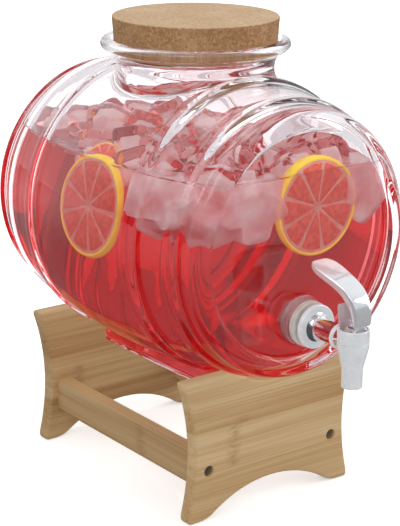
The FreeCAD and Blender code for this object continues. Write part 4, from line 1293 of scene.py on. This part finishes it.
    def slice(self, name: str, centre: Point, facing: Point, radius: float, thickness: float = 6.0) -> None:
        """One wheel of citrus: a rind ring, a pith disc and nine segments of flesh.

        Args:
            name: Name that its pieces start with.
            centre: Middle of the wheel.
            facing: Direction that its cut face looks in.
            radius: Outer radius.
            thickness: Thickness of the wheel.
        """
        half, inner = thickness / 2, radius - 0.07 * radius
        turn = Vector(facing).to_track_quat("Z", "Y").to_matrix().to_4x4()
        place = Matrix.Translation(Vector(centre) * MM) @ turn
        rind, pith = (Bench.lathe(profile, (0, 0, 0), UP, 64) for profile in (
            [(inner, half - 0.4), (radius - 1.2, half), (radius - 0.3, half - 0.8), (radius, 0),
             (radius - 0.3, 0.8 - half), (radius - 1.2, -half), (inner, 0.4 - half), (inner, half - 0.4)],
            [(0, half - 0.5), (inner - 1, half - 0.5), (inner + 0.2, half - 0.7), (inner + 0.2, 0.7 - half),
             (inner - 1, 0.5 - half), (0, 0.5 - half)]))
        wedges = []
        for number in range(9):
            outline = self.segment(number, radius * 0.09, radius * 0.865)
            wedges.append(Bench.prism([(x, y, -half) for x, y in outline], (0, 0, thickness)))
            Bench.ease_edges(wedges[-1], 0.5, 2)
        flesh = Bench.merge(wedges)
        for item, part, finish in ((rind, "rind", CitrusRind()), (pith, "pith", CitrusPith()),
                                   (flesh, "flesh", CitrusFlesh())):
            item.matrix_world = place @ item.matrix_world
            self.dress(item, f"{name}_{part}", 50, finish, Body.VESSEL, Slot.GLASS)

    def build(self) -> None:
        """Pours the drink and adds ice and slices."""
        self.drink()
        self.ice_cores()
        self.fogged_ice()
        self.slice("citrus_front", (16.2, -82.0, 227.5), (0, -1, 0), self.slice_radius, 8.5)
        self.slice("citrus_left", (-92.5, 21.0, 221.0), (-1, 0.02, 0.16), self.slice_radius, 8.5)
        self.slice("citrus_far", (-18.0, 80.0, 243.0), (-0.25, -0.3, 0.92), 27.0)
        self.slice("citrus_back", (-76.0, 36.0, 246.0), (-0.75, -0.35, 0.56), 15.0)


@dataclass
class Stand(Assembly):
    """Bamboo stand: two cradle panels, two rails, screws and dowels."""

    centre_y: float = 37.1
    length: float = 203.0
    thick: float = 12.0
    panel_height: float = 108.0
    horn: float = 79.4
    waist: float = 69.0
    waist_height: float = 46.0
    toe: float = 76.2
    arch_half: float = 58.0
    arch_height: float = 20.0
    axis_height: float = 202.5
    seat_radius: float = 101.9
    inner: float = 27.0
    hollow: float = 95.5
    rail_x: float = 57.4
    screw_height: float = 38.0
    bore: float = 4.1
    bore_depth: float = 4.5

    @staticmethod
    def through(start: Pair, middle: Pair, end: Pair, steps: int) -> list[Pair]:
        """Points on the circle through three points.

        Args:
            start: Where the stretch of the circle starts.
            middle: A point that it passes.
            end: Where it ends.
            steps: Number of stretches.

        Returns:
            Points after the start, up to and with the end.
        """
        (ax, ay), (bx, by), (cx, cy) = start, middle, end
        squares = [x * x + y * y for x, y in (start, middle, end)]
        twice = 2 * (ax * (by - cy) + bx * (cy - ay) + cx * (ay - by))
        x = sum(s * gap for s, gap in zip(squares, (by - cy, cy - ay, ay - by))) / twice
        y = sum(s * gap for s, gap in zip(squares, (cx - bx, ax - cx, bx - ax))) / twice
        first, *others = (math.atan2(py - y, px - x) for px, py in (start, middle, end))
        mid, last = ((angle - first) % math.tau for angle in others)
        if mid > last:
            last -= math.tau
        start_angle, end_angle = math.degrees(first), math.degrees(first + last)
        return arc((x, y), math.hypot(ax - x, ay - y), start_angle, end_angle, steps)[1:]

    def seat(self, x: float) -> Pair:
        """Point of the cradle at a distance from its middle."""
        return x, self.axis_height - math.sqrt(self.seat_radius**2 - x**2)

    def outline(self) -> list[Pair]:
        """Right half of a panel's outline.

        Returns:
            Points from the arch's crown round to the hollow's middle.
        """
        high, toe, horn, arch, inner = self.panel_height, self.toe, self.horn, self.arch_half, self.inner
        seat_end = math.sqrt(self.seat_radius**2 - (self.axis_height - high) ** 2)
        crown = self.through((-arch, 0), (0, self.arch_height), (arch, 0), 32)[15:]
        flank = self.through((toe, 0), (self.waist, self.waist_height), (horn, high), 24)
        cradle = self.through((seat_end, high), self.seat((seat_end + inner) / 2), self.seat(inner), 8)
        dip = self.through(self.seat(inner), (0, self.hollow), self.seat(-inner), 16)[:8]
        corner, heel, tip = 3.6, 8.0, 2.5
        return [*crown[:-2], *bend(crown[-3], crown[-1], (arch + heel, 0.0), 5),
                (toe - corner, 0.0), *bend((toe - corner, 0.0), (toe, 0.0), flank[1], 5),
                *flank[2:-1], *bend(flank[-2], flank[-1], (horn - corner, high), 5),
                (seat_end + tip, high), *bend((seat_end + tip, high), (seat_end, high), cradle[1], 5),
                *cradle[2:], *dip]

    def panel(self, name: str, side: int, node: str, finish: Finish) -> None:
        """One end panel with eased edges and counterbored screw holes.

        Args:
            name: Name of the piece.
            side: -1 at the tap, +1 at the back.
            node: The CAD node that it stands for.
            finish: Its wood.
        """
        right = self.outline()
        outer = self.centre_y + side * self.length / 2
        start = outer if side < 0 else outer - self.thick
        item = Bench.prism([(x, start, z) for x, z in right + [(-x, z) for x, z in reversed(right[1:-1])]],
                           (0, self.thick, 0))
        Bench.ease_edges(item, 2.0, 4, 50)
        mouth, floor, bore = outer + side * 1.0, outer - side * self.bore_depth, self.bore
        for x in (-self.rail_x, self.rail_x):
            drill = Bench.lathe([(0, mouth), (bore + 0.4, mouth), (bore + 0.4, outer),
                                 (bore, outer - side * 0.5), (bore, floor), (0, floor)],
                                (x, 0, self.screw_height), BACK, 32)
            Bench.combine(item, drill, Cut.CARVE)
        self.dress(item, name, 30, finish, Body.STAND, Slot.BAMBOO, node)

    def build(self) -> None:
        """Models the panels and finishes the rails, screws and dowels."""
        # tan is a darker copy of the bamboo: painted shade on the rear panel, which the rails share.
        tan = {"pale": "#CFAF82", "middle": "#BE9868", "deep": "#A87C4C"}
        self.panel("bamboo_panel_front", -1, "stand_front_panel", Bamboo())
        self.panel("bamboo_panel_rear", 1, "stand_rear_panel",
                   Bamboo(knot_at=-36, knot_low=22, knot_high=60, **tan))
        self.refinish(Bamboo(grain=Axis.Y, strip=13, knot_at=20, knot_low=24, knot_high=50, **tan),
                      "stand_left_rail", "stand_right_rail")
        # The screws take a lighter steel than plain drawn steel: painted light in their shaded counterbores.
        self.refinish(DrawnSteel(tone="#D2CCC4", shade="#A29C94"), "stand_screws")
        self.refinish(Bamboo(grain=Axis.Y, strip=3, knot_low=500, knot_high=510), "rail_dowels")


@dataclass
class Tap(Assembly):
    """Chrome tap: flange, arm, cup with its nozzle, bonnet with a splash guard, lever and valve."""

    axis_y: float = -147.6
    axis_z: float = 148.6
    pivot_y: float = -152.2
    pivot_z: float = 156.7
    flange_back: float = 39.5
    coil: float = 3.9
    wire: float = 0.45
    turns: int = 5
    valve_travel: float = 1.95

    def along_arm(self, points: list[Pair], steps: int = 72) -> Item:
        """Spins a profile about the arm. A pair is the distance behind the tap's axis and the radius."""
        return Bench.lathe([(r, self.axis_y + d) for d, r in points], (0, 0, self.axis_z), BACK, steps)

    def upright(self, points: list[Pair]) -> Item:
        """Spins a profile about the nozzle. A pair is the radius and the height above the arm."""
        return Bench.lathe([(r, self.axis_z + h) for r, h in points], (0, self.axis_y, 0), UP, 72)

    def plate(self, outline: list[Pair], base: float, x: float, thick: float) -> Item:
        """Upright plate that faces sideways.

        Args:
            outline: Pairs of a distance behind the pivot and a height.
            base: Height above the table that the heights are measured from.
            x: Where the plate starts.
            thick: Its thickness.

        Returns:
            The new object.
        """
        return Bench.prism([(x, self.pivot_y + y, base + z) for y, z in outline], (thick, 0, 0))

    def is_satin(self, place: Vector) -> bool:
        """Tells whether a place lies on the cup, the arm's ring or the flange's face, which are satin."""
        behind, back = place.y - self.axis_y, self.flange_back
        return math.hypot(place.x, behind) < 11.3 or 12.3 < behind < 15.2 or back - 3.1 < behind < back + 0.1

    def body(self) -> None:
        """Shank, flange, arm with its ring, cup and tapered nozzle in one plated moulding."""
        back = self.flange_back
        front = back - 3.0
        arm = self.along_arm([
            (4.0, 0.0), (4.0, 7.7), (12.4, 7.7), *bend((12.4, 7.7), (12.6, 8.9), (13.3, 8.9), 4),
            *arc((14.3, 7.9), 1.0, 100, 20, 4), (15.3, 7.8), *bend((15.6, 8.1), (16.2, 7.6), (20.0, 7.5), 5),
            *bend((back - 8.0, 7.5), (back - 4.6, 7.6), (front, 10.4), 5), (front, 14.8),
            *bend((front, 14.8), (front, 15.8), (back - 2.0, 15.8), 4), (back, 15.8), (back, 8.0),
            (74.4, 8.0), (75.4, 7.0), (75.4, 0.0)])
        cup = self.upright([
            (0.0, -32.6), (5.0, -32.6), *bend((6.9, -32.6), (7.25, -32.5), (7.3, -31.9), 4), (7.3, -19.0),
            *bend((7.3, -19.0), (9.9, -8.4), (11.1, -3.4), 10), (11.1, -0.6), (10.2, -0.5), (10.2, 0.3),
            (11.1, 0.4), (11.1, 8.6), *bend((11.1, 8.6), (11.1, 9.4), (10.4, 9.4), 4), (0.0, 9.4)])
        Bench.combine(arm, cup, Cut.JOIN)
        chamber = self.upright([(0.0, -34.0), (5.7, -34.0), (5.7, -17.6), (4.6, -17.6), (4.6, -14.6),
                                (6.5, -14.6), (6.5, 3.75), (9.6, 3.75), (9.6, 11.0), (0.0, 11.0)])
        waterway = self.along_arm([(0.0, 0.0), (0.0, 3.6), (77.0, 3.6), (77.0, 0.0)], 48)
        for hollow in (chamber, waterway):
            Bench.combine(arm, hollow, Cut.CARVE)
        self.dress(arm, "chrome_tap_body", 35, ChromePlate(), Body.VESSEL, Slot.CHROME, "tap_body")
        # The satin copy carries a painted glow that brightens the cup, the arm's ring and the flange's face.
        self.refinish_part(arm, ChromePlate(haze=0.24, metal=0.15, pale="#FAFCFF", grey="#EEF2F6", glow=0.05),
                           self.is_satin)

    def strap(self) -> Item:
        """Rounded strap that rises from the pivot, bends back and widens into a thumb paddle.

        Returns:
            The new object.
        """
        rear = [(-1.3, 4.4), (-0.4, 9.0), (1.4, 14.6), (5.0, 20.0), (9.6, 24.4), (15.6, 28.0), (23.0, 30.6),
                (30.0, 32.9), (35.6, 34.8), (39.2, 36.2), (41.8, 37.4), (43.0, 38.6)]
        front = [(-5.2, 4.6), (-6.3, 9.6), (-5.1, 17.2), (-1.6, 23.8), (3.6, 28.4), (10.4, 31.6),
                 (19.2, 34.6), (28.6, 37.4), (34.8, 39.2), (38.8, 40.3), (41.4, 40.8), (42.8, 40.8)]
        halves = [6.7, 6.9, 7.3, 7.8, 8.5, 9.3, 10.1, 10.8, 10.5, 9.2, 7.0, 4.0]
        Bench.clear()
        bpy.ops.mesh.primitive_plane_add(size=1.0)
        item = bpy.context.object
        Bench.edit(item)
        for _ in halves[1:]:
            bpy.ops.mesh.extrude_region_move(TRANSFORM_OT_translate={"value": (0, 0, 0.01)})
        bpy.ops.object.mode_set(mode="OBJECT")
        order = sorted(item.data.vertices, key=lambda v: (round(v.co.z, 4), math.atan2(v.co.y, v.co.x)))
        for number, (back, face, half) in enumerate(zip(rear, front, halves)):
            ring = ((-half, *face), (half, *face), (half, *back), (-half, *back))
            for vertex, (x, y, z) in zip(order[number * 4 : number * 4 + 4], ring):
                vertex.co = (x * MM, (self.pivot_y + y) * MM, (self.pivot_z + z) * MM)
        Bench.edit(item)
        Bench.close_up()
        Bench.ease_edges(item, 1.1, 2, 50)
        Bench.modify(item, "SUBSURF", levels=2, render_levels=2)
        return item

    def lever(self) -> None:
        """The strap with its hub on the pivot, a neck between them and two fingers for the stem."""
        strap = self.strap()
        hub = Bench.lathe([(0.0, -4.4), (1.8, -4.4), (2.2, -4.0), (2.2, 4.0), (1.8, 4.4), (0.0, 4.4)],
                          (0, self.pivot_y, self.pivot_z), RIGHT, 40)
        neck = self.plate([(-1.8, 0.0), (0.2, 0.0), (0.4, 2.6), (-0.6, 6.4), (-4.6, 6.6), (-3.4, 4.4),
                           (-2.9, 2.2)], self.pivot_z, -4.0, 8.0)
        Bench.ease_edges(neck, 0.3, 2)
        finger = [(0.0, -2.2), *arc((4.6, 0.0), 2.2, -90, 90, 10), (0.0, 2.2)]
        fingers = [self.plate(finger, self.pivot_z, x, 1.6) for x in (-4.4, 2.8)]
        self.dress(Bench.merge([strap, hub, neck, *fingers]), "chrome_lever", 40,
                   ChromePlate(haze=0.02, metal=0.5, pale="#FAFCFF", grey="#F2F5F8"), Body.LEVER, Slot.CHROME,
                   "tap_lever")

    def bonnet(self) -> None:
        """Plate over the cup with two ears for the pivot and a splash guard behind the lever."""
        cover = self.upright([(1.65, 3.75), (9.0, 3.75), (9.4, 4.1), (9.4, 5.3), (9.0, 5.6), (2.58, 5.6),
                              (2.58, 4.67), (1.65, 4.67), (1.65, 3.75)])
        ear = [(-2.3, 5.0), *arc((0, 8.1), 2.3, 180, 0, 10), (2.3, 5.0)]
        ears = [self.plate(ear, self.axis_z, x, 1.5) for x in (-6.1, 4.6)]
        edge = [(5.6, 5.0), (6.4, 12.0), (8.0, 24.0), (7.0, 26.0)]
        guard = Bench.prism([(x, self.axis_y + 7.0, self.axis_z + z) for x, z in
                             (*edge, *((-x, z) for x, z in reversed(edge)))], (0, 1.5, 0))
        Bench.ease_edges(guard, 0.4, 3)
        # Its pink base colours are a painted reflection of the red drink in the plating.
        self.dress(Bench.merge([cover, *ears, guard]), "chrome_bonnet", 35,
                   ChromePlate(haze=0.1, metal=0.35, pale="#EEDADD", grey="#E2CCD0"), Body.VESSEL,
                   Slot.CHROME, "tap_bonnet")

    def washer(self) -> None:
        """Silicone washer between the flange and the glass boss, bulged by the nut's pull."""
        low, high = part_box("outer_washer")
        front, back = low.y / MM - self.axis_y, high.y / MM - self.axis_y
        radius = (high.x - low.x) / 2 / MM
        item = self.along_arm([
            (front, 8.2), (front, radius - 1.2),
            *bend((front, radius - 1.2), (front, radius), (front + 1.4, radius), 5),
            *bend((back - 1.4, radius), (back, radius), (back, radius - 1.2), 5), (back, 8.2), (front, 8.2)])
        self.dress(item, "silicone_washer", 35, Elastomer(), Body.VESSEL, Slot.SILICONE, "outer_washer")

    def spring(self) -> None:
        """Coil of round wire that shuts the valve, set between plate and collar."""
        low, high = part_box("return_spring")
        length = (high.z - low.z) / MM
        pitch = (length - 2 * self.wire) / self.turns
        Bench.clear()
        bpy.ops.mesh.primitive_circle_add(vertices=12, radius=self.wire * MM, location=(self.coil * MM, 0, 0),
                                          rotation=(math.pi / 2, 0, 0))
        item = bpy.context.object
        Bench.freeze(item)
        Bench.modify(item, "SCREW", angle=2 * math.pi, screw_offset=pitch * MM, iterations=self.turns,
                     steps=36, render_steps=36, axis="Z")
        Bench.edit(item)
        bpy.ops.mesh.fill_holes(sides=12)
        Bench.close_up()
        item.location = (0, self.axis_y * MM, low.z + self.wire * MM)
        self.dress(item, "valve_spring", 50, DrawnSteel(tone="#C6C8CA", shade="#9A9C9F"), Body.VALVE,
                   Slot.STAINLESS, "return_spring")
        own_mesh(item)

    def build(self) -> None:
        """Models the plated parts and finishes the small ones inside."""
        self.body()
        self.lever()
        self.bonnet()
        self.washer()
        self.spring()
        self.refinish(Elastomer(), "inner_washer")
        self.refinish(MouldedNylon(), "retaining_nut")
        self.refinish(Elastomer(tone="#3A3A3A", shade="#222222", depth=0.0), "stem_ring", "valve_plug")
        self.refinish(DrawnSteel(), "valve_stem", "lever_pin")


@dataclass
class Stopper(Assembly):
    """Tapered cork disc that closes the neck."""

    middle: float = 31.7
    foot_z: float = 321.0
    thick: float = 26.0
    top_radius: float = 60.8
    foot_radius: float = 59.0
    foot_edge: float = 1.2
    top_edge: float = 1.4

    def build(self) -> None:
        """Turns the cork with softly broken edges."""
        low, top, edge = self.foot_z, self.foot_z + self.thick, self.foot_edge
        spread, rise = self.top_radius - self.foot_radius, self.thick - edge - self.top_edge
        profile = [(0.0, low), (40.0, low), (self.foot_radius - edge, low)]
        profile += [(self.foot_radius + spread * i / 5, low + edge + rise * i / 5) for i in range(6)]
        profile += bend(profile[-1], (self.top_radius, top), (self.top_radius - self.top_edge, top), 5)
        profile += [(50.0, top), (25.0, top), (0.0, top)]
        item = Bench.lathe(profile, (0, self.middle, 0), UP, 120)
        self.dress(item, "cork_disc", 35, CorkGranules(), Body.CORK, Slot.CORK, "cork_stopper")


@dataclass
class Studio:
    """Camera, lamps, pale floor and white surroundings."""

    azimuth: float = -37.16
    elevation: float = 17.12
    roll: float = 0.46
    distance: float = 1277.1
    target: Point = (0.0, 37.1, 135.0)
    aim: Pair = (7.86, 21.87)
    focal_pixels: float = 1676.51
    image_width: int = 400
    floor_glow: float = 0.5
    floor_mirrored: str = "#5A5A5E"
    floor_behind: str = "#E6E6E8"
    light_level: float = 0.46
    room: str = "#DDDADC"
    card: str = "#A8919A"
    ceiling: str = "#ECE9EB"
    horizon: str = "#606468"
    upper: str = "#CCD0D4"
    behind: str = "#EEF0F2"

    def camera(self) -> None:
        """Places the camera from its angles, its distance and the point it looks at."""
        a, e, r = (math.radians(v) for v in (self.azimuth, self.elevation, self.roll))
        back = Vector((math.sin(a) * math.cos(e), -math.cos(a) * math.cos(e), math.sin(e)))
        right = (-back).cross(Vector(UP)).normalized()
        up = right.cross(-back)
        across = right * math.cos(r) + up * math.sin(r)
        upward = up * math.cos(r) - right * math.sin(r)
        place = Vector(self.target) + across * self.aim[0] + upward * self.aim[1] + back * self.distance
        data = bpy.data.cameras.new("camera")
        data.sensor_fit = "HORIZONTAL"
        data.lens = data.sensor_width * self.focal_pixels / self.image_width
        data.clip_end = 50.0
        item = bpy.data.objects.new("camera", data)
        bpy.context.scene.collection.objects.link(item)
        turn = Matrix((across, upward, back)).transposed().to_4x4()
        item.matrix_world = Matrix.Translation(place * MM) @ turn
        bpy.context.scene.camera = item

    def lamp(self, name: str, place: Point, size: Pair, power: float, aim: Point = (0, 0, 0.17)) -> None:
        """Hangs one soft lamp that looks at the object.

        Args:
            name: Name of the lamp.
            place: Where it hangs, in metres.
            size: Its width and height in metres.
            power: Watts.
            aim: Point that it faces.
        """
        data = bpy.data.lights.new(name, "AREA")
        data.shape = "RECTANGLE"
        data.size, data.size_y = size
        data.energy = power
        item = bpy.data.objects.new(name, data)
        item.location = place
        item.rotation_euler = (Vector(aim) - Vector(place)).to_track_quat("-Z", "Y").to_euler()
        bpy.context.scene.collection.objects.link(item)

    def beyond(self, on: Surface, place: Socket, low: float, high: float) -> Socket:
        """Tells how far a place lies beyond the object as the camera looks.

        Args:
            on: The nodes to add to.
            place: The place or direction.
            low: Distance at which the share is 0.
            high: Distance at which it is 1.

        Returns:
            The share from 0 to 1.
        """
        turn = math.radians(self.azimuth)
        away = (-math.sin(turn), math.cos(turn), 0.0)
        reach = on.add("VectorMath", {0: place, 1: away}, out="Value", operation="DOT_PRODUCT")
        return on.add("MapRange", {"Value": reach, "From Min": low, "From Max": high})

    def floor(self) -> None:
        """A pale sweep that takes a soft shadow by the object and runs out into plain white."""
        Bench.clear()
        bpy.ops.mesh.primitive_plane_add(size=14.0, location=(0, 0, -0.2 * MM))
        item = bpy.context.object
        item.name = "studio_floor"
        made = bpy.data.materials.new("painted_floor")
        on = Surface(made)
        path = on.add("LightPath").node.outputs
        seen = on.layer(linear(self.floor_mirrored),
                        (self.beyond(on, on.place, 0.15, 0.8), linear(self.floor_behind)))
        far = on.add("VectorMath", {0: on.place}, out="Value", operation="LENGTH")
        white = on.add("MapRange", {"Value": far, "From Min": 0.25, "From Max": 0.9,
                                    "To Min": self.floor_glow, "To Max": 1.0})
        shown = on.chain("MAXIMUM", path["Is Camera Ray"], path["Is Transmission Ray"])
        on.fill(base_color=on.layer(linear("#F4F4F4"), (path["Is Glossy Ray"], seen)), roughness=0.9,
                specular_ior_level=0.0, emission_color=linear("#FFFFFF"),
                emission_strength=on.chain("MULTIPLY", shown, white))
        item.data.materials.append(made)

    def surroundings(self) -> None:
        """White to the eye; dark cards beside the object edge the glass; mirrors see a dim room.

        Dull surfaces get a plain level of light from all round.
        """
        world = bpy.context.scene.world = bpy.data.worlds.new("studio")
        on = Surface(world)
        direction = on.add("TexCoord", out="Generated")
        height = on.add("SeparateXYZ", {"Vector": direction}, out="Z")
        walls = on.add("ValToRGB", {"Fac": self.beyond(on, direction, -1.0, 1.0)},
                       [(0.0, self.room), (0.42, self.room), (0.48, self.card), (0.55, self.card),
                        (0.62, "#FFFFFF")])
        over = on.add("MapRange", {"Value": height, "From Min": 0.45, "From Max": 0.75})
        through = on.layer(walls, (over, linear(self.ceiling)))
        dim = on.add("ValToRGB", {"Fac": height}, [(0.0, self.horizon), (0.22, self.horizon),
                                                   (0.36, self.upper), (1.0, self.upper)])
        mirrored = on.layer(dim, (self.beyond(on, direction, -0.1, 0.35), linear(self.behind)))
        path = on.add("LightPath").node.outputs
        shown = on.chain("MAXIMUM", *(path[f"Is {ray} Ray"] for ray in ("Camera", "Glossy", "Transmission")))
        level = on.add("MapRange", {"Value": shown, "To Min": self.light_level, "To Max": 1.0})
        on.fill(color=on.layer(linear("#FFFFFF"), (path["Is Transmission Ray"], through),
                               (path["Is Glossy Ray"], mirrored)), strength=level)

    def build(self) -> None:
        """Sets up the studio."""
        scene = bpy.context.scene
        scene.view_settings.view_transform = "Standard"
        scene.cycles.max_bounces = scene.cycles.transmission_bounces = 40
        scene.cycles.glossy_bounces = 10
        self.camera()
        self.floor()
        self.surroundings()
        self.lamp("key_softbox", (-1.3, -0.9, 1.5), (1.0, 1.0), 8.0)
        self.lamp("fill_softbox", (1.5, -1.0, 0.9), (0.8, 1.2), 8.5)
        self.lamp("top_softbox", (0.2, 0.4, 1.9), (1.4, 1.4), 8.0)


def main() -> None:
    """Builds the studio and each sub-assembly in order."""
    logging.basicConfig(level=logging.INFO, format="%(message)s", stream=sys.stdout)
    Studio().build()
    barrel = GlassBarrel()
    barrel.build()
    Refreshment(barrel).build()
    Stand().build()
    Tap().build()
    Stopper().build()
    Bench.clear()


if __name__ == "__main__":
    main()
